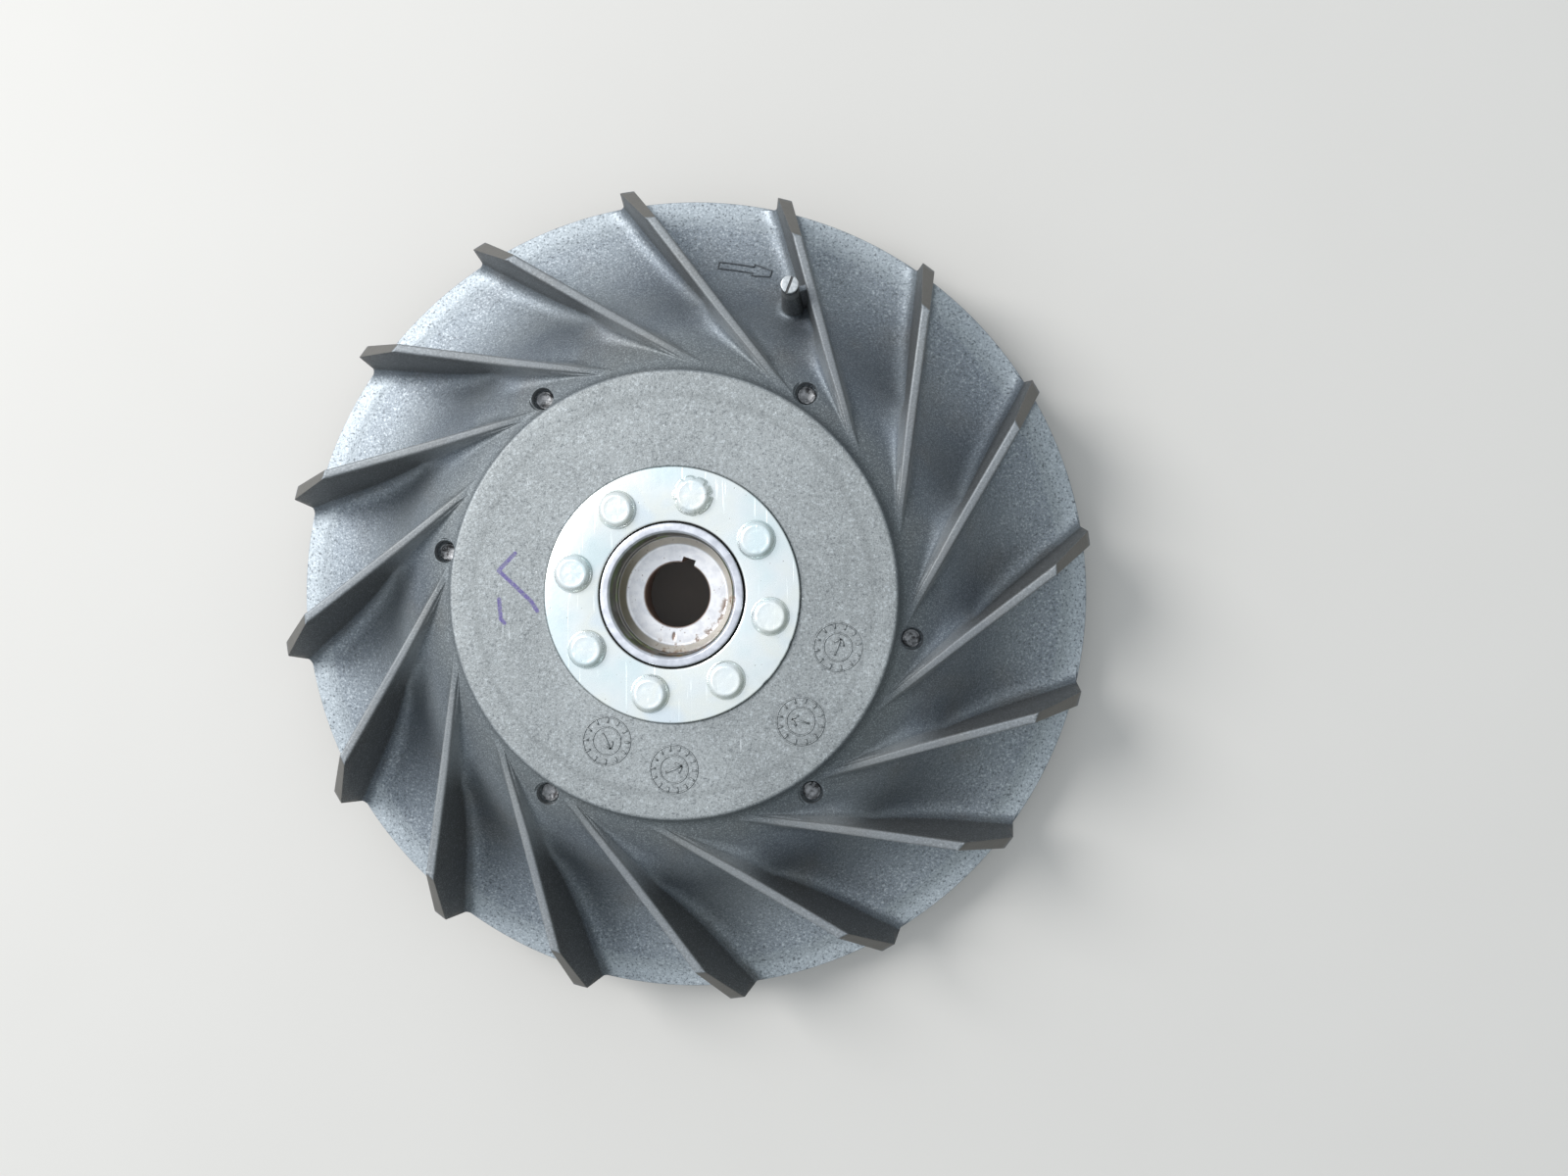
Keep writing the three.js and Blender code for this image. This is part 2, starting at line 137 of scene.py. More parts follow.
# Rows of points, each closed on itself, with one face over the first and one over the last.
def cappedGrid(name, rows):
    count = len(rows[0])
    points = [p for row in rows for p in row]
    faces = []
    for i in range(len(rows) - 1):
        for j in range(count):
            k = (j + 1) % count
            faces.append((i * count + j, i * count + k, (i + 1) * count + k, (i + 1) * count + j))
    faces.append(tuple(reversed(range(count))))
    faces.append(tuple(range(len(points) - count, len(points))))
    return meshFrom(name, points, faces)


# A block from its eight corners: four below, anticlockwise, and the four above them.
def blockMesh(name, corners):
    faces = [(3, 2, 1, 0), (4, 5, 6, 7), (0, 1, 5, 4), (1, 2, 6, 5), (2, 3, 7, 6), (3, 0, 4, 7)]
    return meshFrom(name, corners, faces)


# A turned body from (r, z) points that close on themselves, or run from axis to axis.
def turnedMesh(name, outline, sides, centre=(0, 0), onAxis=False):
    points, faces = [], []
    rings = []
    for r, z in outline:
        if onAxis and r == 0:
            rings.append([len(points)])
            points.append((centre[0], centre[1], z))
            continue
        rings.append(list(range(len(points), len(points) + sides)))
        for j in range(sides):
            a = turn * j / sides
            points.append((centre[0] + r * math.cos(a), centre[1] + r * math.sin(a), z))
    pairs = list(zip(rings, rings[1:]))
    if not onAxis:
        pairs.append((rings[-1], rings[0]))
    for low, high in pairs:
        for j in range(sides):
            k = (j + 1) % sides
            if len(low) == 1:
                faces.append((low[0], high[k], high[j]))
            elif len(high) == 1:
                faces.append((low[j], low[k], high[0]))
            else:
                faces.append((low[j], low[k], high[k], high[j]))
    return meshFrom(name, points, faces)


# Rounds the corners of an (r, z) outline. Each corner is (r, z, radius).
def rounded(corners, closed=True, steps=4):
    out = []
    count = len(corners)
    for i, (r, z, radius) in enumerate(corners):
        here = Vector((r, z))
        if radius == 0 or (not closed and i in (0, count - 1)):
            out.append((r, z))
            continue
        before = Vector(corners[i - 1][:2]) - here
        after = Vector(corners[(i + 1) % count][:2]) - here
        reach = min(radius, before.length * 0.49, after.length * 0.49)
        start = here + before.normalized() * reach
        end = here + after.normalized() * reach
        for s in range(steps + 1):
            t = s / steps
            p = start * (1 - t) ** 2 + here * 2 * t * (1 - t) + end * t ** 2
            out.append((p.x, p.y))
    return out


def arcPoints(r, z, radius, start, end, steps):
    out = []
    for i in range(steps + 1):
        a = rad(start + (end - start) * i / steps)
        out.append((r + radius * math.cos(a), z + radius * math.sin(a)))
    return out


def applyBoolean(target, cutter, operation):
    change = target.modifiers.new("cut", "BOOLEAN")
    change.operation = operation
    change.solver = "MANIFOLD"
    change.object = cutter
    bpy.context.view_layer.update()
    graph = bpy.context.evaluated_depsgraph_get()
    mesh = bpy.data.meshes.new_from_object(target.evaluated_get(graph))
    target.modifiers.remove(change)
    target.data = mesh
    bpy.data.objects.remove(cutter)
    return target


def looseObject(mesh):
    made = bpy.data.objects.new(mesh.name, mesh)
    bpy.context.collection.objects.link(made)
    return made


def pointOut(mesh):
    work = bmesh.new()
    work.from_mesh(mesh)
    bmesh.ops.recalc_face_normals(work, faces=work.faces)
    work.to_mesh(mesh)
    work.free()


# Runs a Geometry Nodes tree on a mesh and gives back the plain mesh that it makes.
def grow(name, mesh, tree, settings):
    made = looseObject(mesh)
    change = made.modifiers.new(name, "NODES")
    change.node_group = tree.group
    for item in tree.group.interface.items_tree:
        if item.name in settings:
            change[item.identifier] = settings[item.name]
    bpy.context.view_layer.update()
    graph = bpy.context.evaluated_depsgraph_get()
    grown = bpy.data.meshes.new_from_object(made.evaluated_get(graph))
    made.modifiers.remove(change)
    bpy.data.objects.remove(made)
    grown.name = name
    return grown


# Sockets as values: an expression on them adds its Math nodes.
class Wire:
    def __init__(self, tree, socket):
        self.tree = tree
        self.socket = socket

    def maths(self, operation, *others):
        values = dict(enumerate((self, *others)))
        return self.tree.node("ShaderNodeMath", {"operation": operation}, values)

    def __add__(self, other):
        return self.maths("ADD", other)

    __radd__ = __add__

    def __sub__(self, other):
        return self.maths("SUBTRACT", other)

    def __rsub__(self, other):
        return self.tree.node("ShaderNodeMath", {"operation": "SUBTRACT"}, {0: other, 1: self})

    def __mul__(self, other):
        return self.maths("MULTIPLY", other)

    __rmul__ = __mul__

    def __truediv__(self, other):
        return self.maths("DIVIDE", other)

    def __pow__(self, other):
        return self.maths("POWER", other)

    def clamp(self):
        return self.tree.node("ShaderNodeClamp", {}, {0: self})

    def ramp(self, low, high):
        return self.tree.node("ShaderNodeMapRange", {"interpolation_type": "SMOOTHSTEP"},
                              {0: self, 1: low, 2: high})


class Nodes:
    def __init__(self, group):
        self.nodes = group.nodes
        self.links = group.links

    def node(self, kind, settings, values, output=0):
        made = self.nodes.new(kind)
        for key, value in settings.items():
            if key == "stops":
                while len(made.color_ramp.elements) < len(value):
                    made.color_ramp.elements.new(1)
                for element, (at, colour) in zip(made.color_ramp.elements, value):
                    element.position = at
                    element.color = (*colour, 1)
            else:
                setattr(made, key, value)
        for key, value in values.items():
            self.join(made.inputs[key], value)
        return Wire(self, made.outputs[output] if made.outputs else None)

    def join(self, socket, value):
        if isinstance(value, Wire):
            self.links.new(value.socket, socket)
        elif socket.type == "RGBA" and len(value) == 3:
            socket.default_value = (*value, 1)
        else:
            socket.default_value = value

    def parts(self, vector):
        first = self.node("ShaderNodeSeparateXYZ", {}, {0: vector})
        return [Wire(self, socket) for socket in first.socket.node.outputs]

    def vector(self, x=0.0, y=0.0, z=0.0):
        return self.node("ShaderNodeCombineXYZ", {}, {0: x, 1: y, 2: z})


# A material on the Principled shader, with its patterns in Object coordinates.
class Finish(Nodes):
    def __init__(self, name):
        self.material = bpy.data.materials.new(name)
        self.material.use_nodes = True
        super().__init__(self.material.node_tree)
        self.shader = self.nodes["Principled BSDF"]
        self.place = self.node("ShaderNodeTexCoord", {}, {}, "Object")

    def noise(self, size, detail=3.0, roughness=0.55, place=None):
        return self.node("ShaderNodeTexNoise", {}, {
            "Vector": place or self.place, "Scale": 1 / (size * mm), "Detail": detail,
            "Roughness": roughness})

    def cells(self, size):
        return self.node("ShaderNodeTexVoronoi", {}, {
            "Vector": self.place, "Scale": 1 / (size * mm)})

    def mix(self, factor, first, second):
        return self.node("ShaderNodeMix", {"data_type": "RGBA"}, {0: factor, 6: first, 7: second}, 2)

    def stops(self, value, stops):
        return self.node("ShaderNodeValToRGB", {"stops": stops}, {0: value})

    def radius(self):
        x, y = self.parts(self.place)[:2]
        return (x * x + y * y).maths("SQRT")

    def upness(self):
        return self.parts(self.node("ShaderNodeNewGeometry", {}, {}, "Normal"))[2]

    def stretched(self, scale, turnBy=0.0):
        return self.node("ShaderNodeMapping", {}, {
            "Vector": self.place, "Scale": scale, "Rotation": (0, 0, rad(turnBy))})

    def bump(self, height, distance, strength, under=None):
        values = {"Height": height, "Distance": distance * mm, "Strength": strength}
        if under is not None:
            values["Normal"] = under
        return self.node("ShaderNodeBump", {}, values)

    def wear(self, colour, roughness, metallic=0.0, normal=None):
        self.join(self.shader.inputs["Base Color"], colour)
        self.join(self.shader.inputs["Roughness"], roughness)
        self.join(self.shader.inputs["Metallic"], metallic)
        if normal is not None:
            self.join(self.shader.inputs["Normal"], normal)
        return self.material


# A Geometry Nodes tree with named inputs.
class Pattern(Nodes):
    def __init__(self, name, inputs):
        self.group = bpy.data.node_groups.new(name, "GeometryNodeTree")
        super().__init__(self.group)
        sockets = self.group.interface
        for label, kind in {"Geometry": "Geometry", **inputs}.items():
            sockets.new_socket(label, in_out="INPUT", socket_type="NodeSocket" + kind)
        sockets.new_socket("Result", in_out="OUTPUT", socket_type="NodeSocketGeometry")
        self.source = self.node("NodeGroupInput", {}, {}).socket.node

    def given(self, label):
        return Wire(self, self.source.outputs[label])

    def random(self, low, high, seed):
        return self.node("FunctionNodeRandomValue", {}, {2: low, 3: high, 8: seed}, 1)

    def together(self, shapes):
        first = self.node("GeometryNodeJoinGeometry", {}, {})
        for shape in shapes:
            self.links.new(shape.socket, first.socket.node.inputs[0])
        return first

    def end(self, shape):
        real = self.node("GeometryNodeRealizeInstances", {}, {0: shape})
        dressed = self.node("GeometryNodeSetMaterial", {}, {
            "Geometry": real, "Material": self.given("Material")})
        self.node("NodeGroupOutput", {}, {0: dressed})
        return self


# Fan casting: dome, flare, disc, blades and skirt in one mesh.
casting = {
    "bladeCount": 16,
    "firstBladeAngle": 99.4,      # degrees, outer corner of the first blade
    "bladeStartAngle": -37.4,     # inner end, from the outer corner
    "bladeLean": 28.1,
    "bladeStartInset": 0.7,
    "leadCrest": (1.15, 1.1),     # half widths of the crest, inner end and outward
    "trailCrest": (0.45, 0.95),   # this side thins out towards the dome
    "crestRound": 0.5,
    "bladeCentre": 0.7,
    "bladeDraft": 0.036,
    "trailLean": 0.8,             # more draft on the trailing side at the inner end
    "trailSpread": 0.9,           # its fillet is wider there too
    "trailLeanRun": 16.0,         # how far out both fade away
    "crestRun": 11.0,             # from the inner end to the outward width
    "tipEdge": 0.16,              # rounding of the crest beyond the tip's shoulder
    "leadFillet": 2.0,            # foot of the blade, leading side
    "trailFillet": 4.4,           # and trailing side
    "tipShoulderInset": 12.4,
    "tipCornerInset": 1.8,
    "tipChamferDepth": 12.0,
    "domeRise": 5.2,
    "domeDraft": 0.3,
    "domeEdge": 0.9,
    "domeWall": 4.4,
    "domeRoof": 3.85,
    "domeHollowEdge": 2.6,
    "footFillet": 3.0,
    "footSlope": 24.7,
    "wallSlope": 87.0,
    "steepestRun": 15.76,
    "steepestSlope": 52.0,
    "flareEndInset": 5.0,
    "flareEndSlope": 6.0,
    "bandWidth": 4.0,
    "bandRise": 0.7,
    "blendInset": 2.5,            # where the flare starts to run into the band
    "blendOutset": 0.8,
    "rimThickness": 2.6,
    "discWall": 3.2,
    "skirtWall": 4.9,
    "ringCorner": 5.0,            # rounding of the magnet ring's seat
    "rearFillet": 3.0,            # between the skirt and the disc behind
    "rearSlope": 47.0,
    "fitGap": 0.12,
    "counterbore": 2.6,           # over the ring rivets
    "counterboreDepth": 2.05,     # below the tops of the nodes
    "mouthDepth": 0.9,
    "mouthReach": 0.45,           # chamfer outside the counterbore
    "ringStep": 1.0,              # spacing of the mesh along the blades
    "floorSteps": 13,             # and across the floor between two of them
}
c = casting
discRadius = castHigh[0]
domeTop = castHigh[2]
domeRadius = 50.2
footZ = domeTop - c["domeRise"]
bladeTop = footZ - 0.2
plateBottom = plateLow[2]
hubRadius = 15.92
rimZ = 12.0


# An arc in (r, z) that starts at r0, z0 and ends at r1. Its slopes are in degrees downwards,
# and offset moves it in under the surface.
def slopeArc(r0, z0, slope0, r1, slope1, steps, offset=0.0):
    s0, s1 = math.sin(rad(slope0)), math.sin(rad(slope1))
    radius = (r1 - r0) / (s1 - s0)
    out = []
    for i in range(steps + 1):
        slope = rad(slope0 + (slope1 - slope0) * i / steps)
        r = r0 + radius * (math.sin(slope) - s0)
        z = z0 - radius * (math.cos(rad(slope0)) - math.cos(slope))
        out.append((r - offset * math.sin(slope), z - offset * math.cos(slope)))
    return out


footRadius = domeRadius + c["domeDraft"] + c["footFillet"] * (
    math.sin(rad(c["wallSlope"])) - math.sin(rad(c["footSlope"])))
steepestRadius = footRadius + c["steepestRun"]
flareEndRadius = discRadius - c["flareEndInset"]
steepestZ = slopeArc(footRadius, footZ, c["footSlope"], steepestRadius, c["steepestSlope"], 1)[-1][1]


# The disc's flare from the dome's foot to the rim, as two arcs.
def flareProfile(offset, steps):
    shoulder = slopeArc(footRadius, footZ, c["footSlope"], steepestRadius,
                        c["steepestSlope"], steps, offset)
    outer = slopeArc(steepestRadius, steepestZ, c["steepestSlope"], flareEndRadius,
                     c["flareEndSlope"], steps, offset)
    return shoulder + outer[1:]


flareR, flareZ = zip(*flareProfile(0.0, 60))
bandR = discRadius - c["bandWidth"]
bandSlope = c["bandRise"] / c["bandWidth"]


# Height of the casting's front surface between the dome's foot and the rim. The flare runs
# into the rim's band with no step in height or in slope.
def surfaceZ(r):
    blendStart, blendEnd = flareEndRadius - c["blendInset"], bandR + c["blendOutset"]
    if r <= blendStart:
        return float(np.interp(r, flareR, flareZ))
    if r >= blendEnd:
        return rimZ + (discRadius - r) * bandSlope
    z0 = float(np.interp(blendStart, flareR, flareZ))
    z1 = rimZ + (discRadius - blendEnd) * bandSlope
    span = blendEnd - blendStart
    startSlope = (z0 - float(np.interp(blendStart - 0.5, flareR, flareZ))) / 0.5
    t = (r - blendStart) / span
    raised = z0 * (1 + 2 * t) * (1 - t) ** 2 + z1 * t * t * (3 - 2 * t)
    leaned = startSlope * t * (1 - t) ** 2 + bandSlope * t * t * (1 - t)
    return raised + leaned * span


tipShoulder = discRadius - c["tipShoulderInset"]
tipCorner = discRadius - c["tipCornerInset"]


# Height of the turned outer shape that cuts the blades.
def crestZ(r):
    tipZ = bladeTop - c["tipChamferDepth"]
    points = [(0, bladeTop), (tipShoulder, bladeTop), (tipCorner, tipZ), (discRadius - 0.05, rimZ)]
    return float(np.interp(r, *zip(*points)))


startRadius = footRadius + c["bladeStartInset"]
bladeOffset = startRadius * math.sin(rad(c["bladeStartAngle"] - c["bladeLean"]))
bladePitch = 360 / c["bladeCount"]


# Direction of the point at radius r that lies across millimetres beside a blade's line.
def bladeAngle(r, across, index):
    base = rad(c["firstBladeAngle"] - bladePitch * index + c["bladeLean"])
    return base + math.asin(max(-1.0, min(1.0, (bladeOffset + across) / r)))


# One side of a blade at one radius: (distance across, height) from the crest to the floor.
def bladeSide(r, fillet, crest, lean=0.0, wider=0.0):
    floor = surfaceZ(r)
    fade = max(0.0, 1 - (r - startRadius) / c["trailLeanRun"])
    slant = c["bladeDraft"] + lean * fade
    top = max(crestZ(r), floor)
    height = top - floor
    grown = c["bladeDraft"] * (bladeTop - top)
    outward = min(1.0, max(0.0, (r - startRadius) / c["crestRun"]))
    half = crest[0] + (crest[1] - crest[0]) * outward + grown
    edge = c["crestRound"] if r < tipShoulder - 0.4 else c["tipEdge"]
    edge = min(edge, half * 0.8, height * 0.45)
    out = [(half * 0.4 if edge < 0.3 else (half - edge) * 0.5, top)]
    for i in range(4):
        a = rad(90 - 30 * i)
        out.append((half - edge + edge * math.cos(a), top - edge + edge * math.sin(a)))
    fillet = min(fillet, max(0.0, height - edge) * 0.8)
    spread = max(fillet, 0.6) * (1 + wider * fade)
    begin = math.atan(slant * fillet / spread)
    wallEnd = height - fillet * (1 - math.sin(begin))
    for t in (0.3, 0.65):
        depth = edge + (wallEnd - edge) * t
        out.append((half + slant * depth, top - depth))
    foot = half + slant * wallEnd
    for i in range(7):
        a = begin + (rad(90) - begin) * i / 6
        out.append((foot + spread * (math.cos(begin) - math.cos(a)),
                    floor + fillet * (1 - math.sin(a))))
    return out


# One closed row of points at radius r: sixteen blades with the floor between them.
def bladeRow(r):
    trailing = bladeSide(r, c["trailFillet"], c["trailCrest"], c["trailLean"], c["trailSpread"])
    leading = bladeSide(r, c["leadFillet"], c["leadCrest"])
    floor = surfaceZ(r)
    centre = c["bladeCentre"]
    row = []
    for k in range(c["bladeCount"]):
        index = c["bladeCount"] - k
        side = [(bladeAngle(r, centre - w, index), z) for w, z in reversed(leading)]
        side.append((bladeAngle(r, centre, index), max(crestZ(r), floor)))
        side += [(bladeAngle(r, centre + w, index), z) for w, z in trailing]
        start = side[-1][0]
        end = bladeAngle(r, centre - leading[-1][0], index - 1)
        for s in range(1, c["floorSteps"]):
            side.append((start + (end - start) * s / c["floorSteps"], floor))
        row += [(r * math.cos(a), r * math.sin(a), z) for a, z in side]
    return row


def rowAngles(row):
    return np.unwrap([math.atan2(p[1], p[0]) for p in row])


def plainRow(angles, r, z):
    return [(r * math.cos(a), r * math.sin(a), z) for a in angles]


# Stations along the blades, closer together where the turned tip bends.
def bladeStations():
    out = [footRadius]
    r = footRadius
    while r < tipShoulder - 1.4:
        r += c["ringStep"] * (0.5 if r < footRadius + 6 else 1.0)
        out.append(r)
    out += [tipShoulder - 0.42, tipShoulder - 0.12, tipShoulder + 0.12]
    out += [tipShoulder + (tipCorner - tipShoulder) * i / 9 for i in range(1, 9)]
    out += [tipCorner - 0.1, tipCorner + 0.03]
    last = discRadius - 0.12
    out += [tipCorner + (last - tipCorner) * i / 6 for i in range(1, 7)]
    return out


# The whole casting as rows of points: down the front, under the dome, down the skirt, and out
# behind the disc.
def castingRows():
    bladed = [bladeRow(r) for r in bladeStations()]
    inner = rowAngles(bladed[0])
    outer = rowAngles(bladed[-1])
    ceiling = plateBottom - c["domeRoof"]
    yokeTop = yokeHigh[2]
    skirtInner = yokeHigh[0] + c["fitGap"]
    skirtOuter = skirtInner + c["skirtWall"]
    domeInner = domeRadius - c["domeWall"]
    wallR = domeRadius + c["domeDraft"]
    foot = slopeArc(wallR, 0, c["wallSlope"], footRadius, c["footSlope"], 6)
    lift = footZ - foot[-1][1]
    front = [(r, z + lift) for r, z in reversed(foot)][1:]
    front += arcPoints(domeRadius - c["domeEdge"], domeTop - c["domeEdge"], c["domeEdge"], 0, 90, 4)
    front += [(47 - 3 * i, domeTop) for i in range(6)]
    seatR = plateHigh[0] + c["fitGap"]
    front += [(seatR + 0.25, domeTop), (seatR, domeTop - 0.25), (seatR, plateBottom),
              (hubRadius + c["fitGap"], plateBottom)]
    rows = [plainRow(outer, discRadius, rimZ - 0.15)]
    rows += list(reversed(bladed))
    rows += [plainRow(inner, r, z) for r, z in front]
    unwound = outer - turn * round((outer[0] - inner[0]) / turn)
    under = [hubRadius + c["fitGap"], 22, 28, 33, 38]
    for i, r in enumerate(under):
        share = i / (len(under) - 1)
        rows.append(plainRow(inner + (unwound - inner) * share, r, ceiling))
    hollow, corner = c["domeHollowEdge"], c["ringCorner"]
    seatCentre = yokeHigh[0] - corner
    back = arcPoints(domeInner - hollow, ceiling - hollow, hollow, 90, 0, 4)
    back += [(domeInner, yokeTop + 0.7), (domeInner + 0.7, yokeTop), (seatCentre, yokeTop)]
    back += arcPoints(seatCentre + c["fitGap"], yokeTop - corner, corner, 76, 0, 4)
    back += [(skirtInner, 0.7), (skirtInner + 0.5, 0.0), (skirtOuter - 0.6, 0.0),
             (skirtOuter - 0.15, 0.2), (skirtOuter, 0.7)]
    rear = flareProfile(c["discWall"], 14)
    rearZ = float(np.interp(skirtOuter, *zip(*rear)))
    fillet, slope = c["rearFillet"], rad(c["rearSlope"])
    back += [(skirtOuter, rearZ - fillet * 1.9)]
    start = (skirtOuter, rearZ - fillet * 1.6)
    end = (skirtOuter + fillet * math.cos(slope), rearZ - fillet * math.sin(slope))
    for t in (0.25, 0.5, 0.75, 1.0):
        a, b = (1 - t) ** 2, 2 * t * (1 - t)
        back.append((a * start[0] + b * skirtOuter + t * t * end[0],
                     a * start[1] + b * rearZ + t * t * end[1]))
    back += [(r, z) for r, z in rear if r > back[-1][0] + 0.8]
    rimBack = rimZ - c["rimThickness"]
    back += [(discRadius - 1.5, rimBack), (discRadius - 0.3, rimBack), (discRadius, rimBack + 0.3)]
    rows += [plainRow(unwound, r, z) for r, z in back]
    return rows


fanMesh = closedGrid("fanCasting", castingRows())
fan = looseObject(fanMesh)
print("casting grid:", len(fanMesh.vertices), "points")


# Cast post that the peg is pressed into.
post = {
    "radiusTop": 1.98,
    "radiusBase": 2.6,
    "shank": 1.36,
    "fillet": 2.2,
    "top": 42.55,
    "webWidth": 1.5,
    "webDrop": 0.9,
    "webLength": 5.4,
}
pegX, pegY = middle("slotted_peg")


def cutHole(target, x, y, radius, low, high):
    outline = [(0, low), (radius, low), (radius, high), (0, high)]
    cutter = looseObject(turnedMesh("drill", outline, 40, (x, y), onAxis=True))
    return applyBoolean(target, cutter, "DIFFERENCE")


for name in ringRivetNames:
    x, y = middle(name)
    mouth = surfaceZ(math.hypot(x, y))
    low = nodeBox("ring_rivet_1")[1][2] - c["counterboreDepth"]
    fan = cutHole(fan, x, y, c["counterbore"], low, mouth + 6)
    chamfer = c["counterbore"] + c["mouthReach"]
    fan = cutHole(fan, x, y, chamfer, mouth - c["mouthDepth"], mouth + 6)


# The post flares into the sloping disc: its foot follows the surface under it.
def postMesh():
    sides = 48
    stations = [(post["radiusBase"] + post["fillet"], lift) for lift in (-3.0, -0.18)]
    for i in range(7):
        t = rad(90 * i / 6)
        reach = post["radiusBase"] + post["fillet"] * (1 - math.sin(t))
        stations.append((reach, post["fillet"] * (1 - math.cos(t)) - 0.03))
    rows = []
    for reach, lift in stations:
        ring = []
        for j in range(sides):
            a = turn * j / sides
            x, y = pegX + reach * math.cos(a), pegY + reach * math.sin(a)
            ring.append((x, y, surfaceZ(math.hypot(x, y)) + lift))
        rows.append(ring)
    high = post["top"]
    low = max(p[2] for p in rows[-1]) + 0.8
    for z, r in ((low, post["radiusBase"] - 0.05), (high - 0.7, post["radiusTop"]),
                 (high - 0.2, post["radiusTop"] - 0.12), (high, post["radiusTop"] - 0.45)):
        rows.append([(pegX + r * math.cos(turn * j / sides), pegY + r * math.sin(turn * j / sides), z)
                     for j in range(sides)])
    return cappedGrid("post", rows)


# The web that ties the post to its blade, narrower towards its top.
def webMesh():
    blade = rad(c["firstBladeAngle"] - bladePitch + c["bladeLean"] - 90)
    along = Vector((math.cos(blade), math.sin(blade), 0))
    side = Vector((-along.y, along.x, 0)) * post["webWidth"] / 2
    top = bladeTop - post["webDrop"]
    start = Vector((pegX, pegY, 0))
    end = start + along * post["webLength"]
    low = surfaceZ(math.hypot(pegX, pegY)) - 1
    points = []
    for p in (start, end):
        for z, share in ((low, 1.5), (top - 0.7, 1.0), (top - 0.2, 0.75), (top, 0.35)):
            for sign in (-1, 1):
                q = p + side * sign * share
                points.append((q.x, q.y, z))
    ring = [0, 2, 4, 6, 7, 5, 3, 1]
    faces = [tuple(reversed(ring)), tuple(i + 8 for i in ring)]
    for a, b in zip(ring, ring[1:] + ring[:1]):
        faces.append((a, b, b + 8, a + 8))
    mesh = meshFrom("web", points, faces)
    pointOut(mesh)
    return mesh


fan = applyBoolean(fan, looseObject(postMesh()), "UNION")
fan = applyBoolean(fan, looseObject(webMesh()), "UNION")
fan = cutHole(fan, pegX, pegY, post["shank"], pegLow[2] - 0.1, post["top"] + 1)
print("casting cut:", len(fan.data.polygons), "faces")


# Two strokes of a felt pen on the dome, in millimetres: a plain tick and a bar beside it.
marker = {
    "tick": ((-35.2, 9.2), (-38.9, 5.4), (-31.6, -1.4), (-30.2, -3.6)),
    "bar": ((-38.8, -1.0), (-38.4, -5.4), (-37.6, -6.3)),
    "width": 0.95,
    "ink": (0.085, 0.055, 0.24),
}


# One on the pen's line, nought away from it.
def penLine(x, y, stroke, width):
    nearest = None
    for (x0, y0), (x1, y1) in zip(stroke, stroke[1:]):
        dx, dy = x1 - x0, y1 - y0
        t = (((x - x0) * dx + (y - y0) * dy) / (dx * dx + dy * dy)).clamp()
        offX, offY = x - t * dx - x0, y - t * dy - y0
        square = offX * offX + offY * offY
        nearest = square if nearest is None else nearest.maths("MINIMUM", square)
    return 1 - nearest.maths("SQRT").ramp(width * 0.38, width * 0.58)


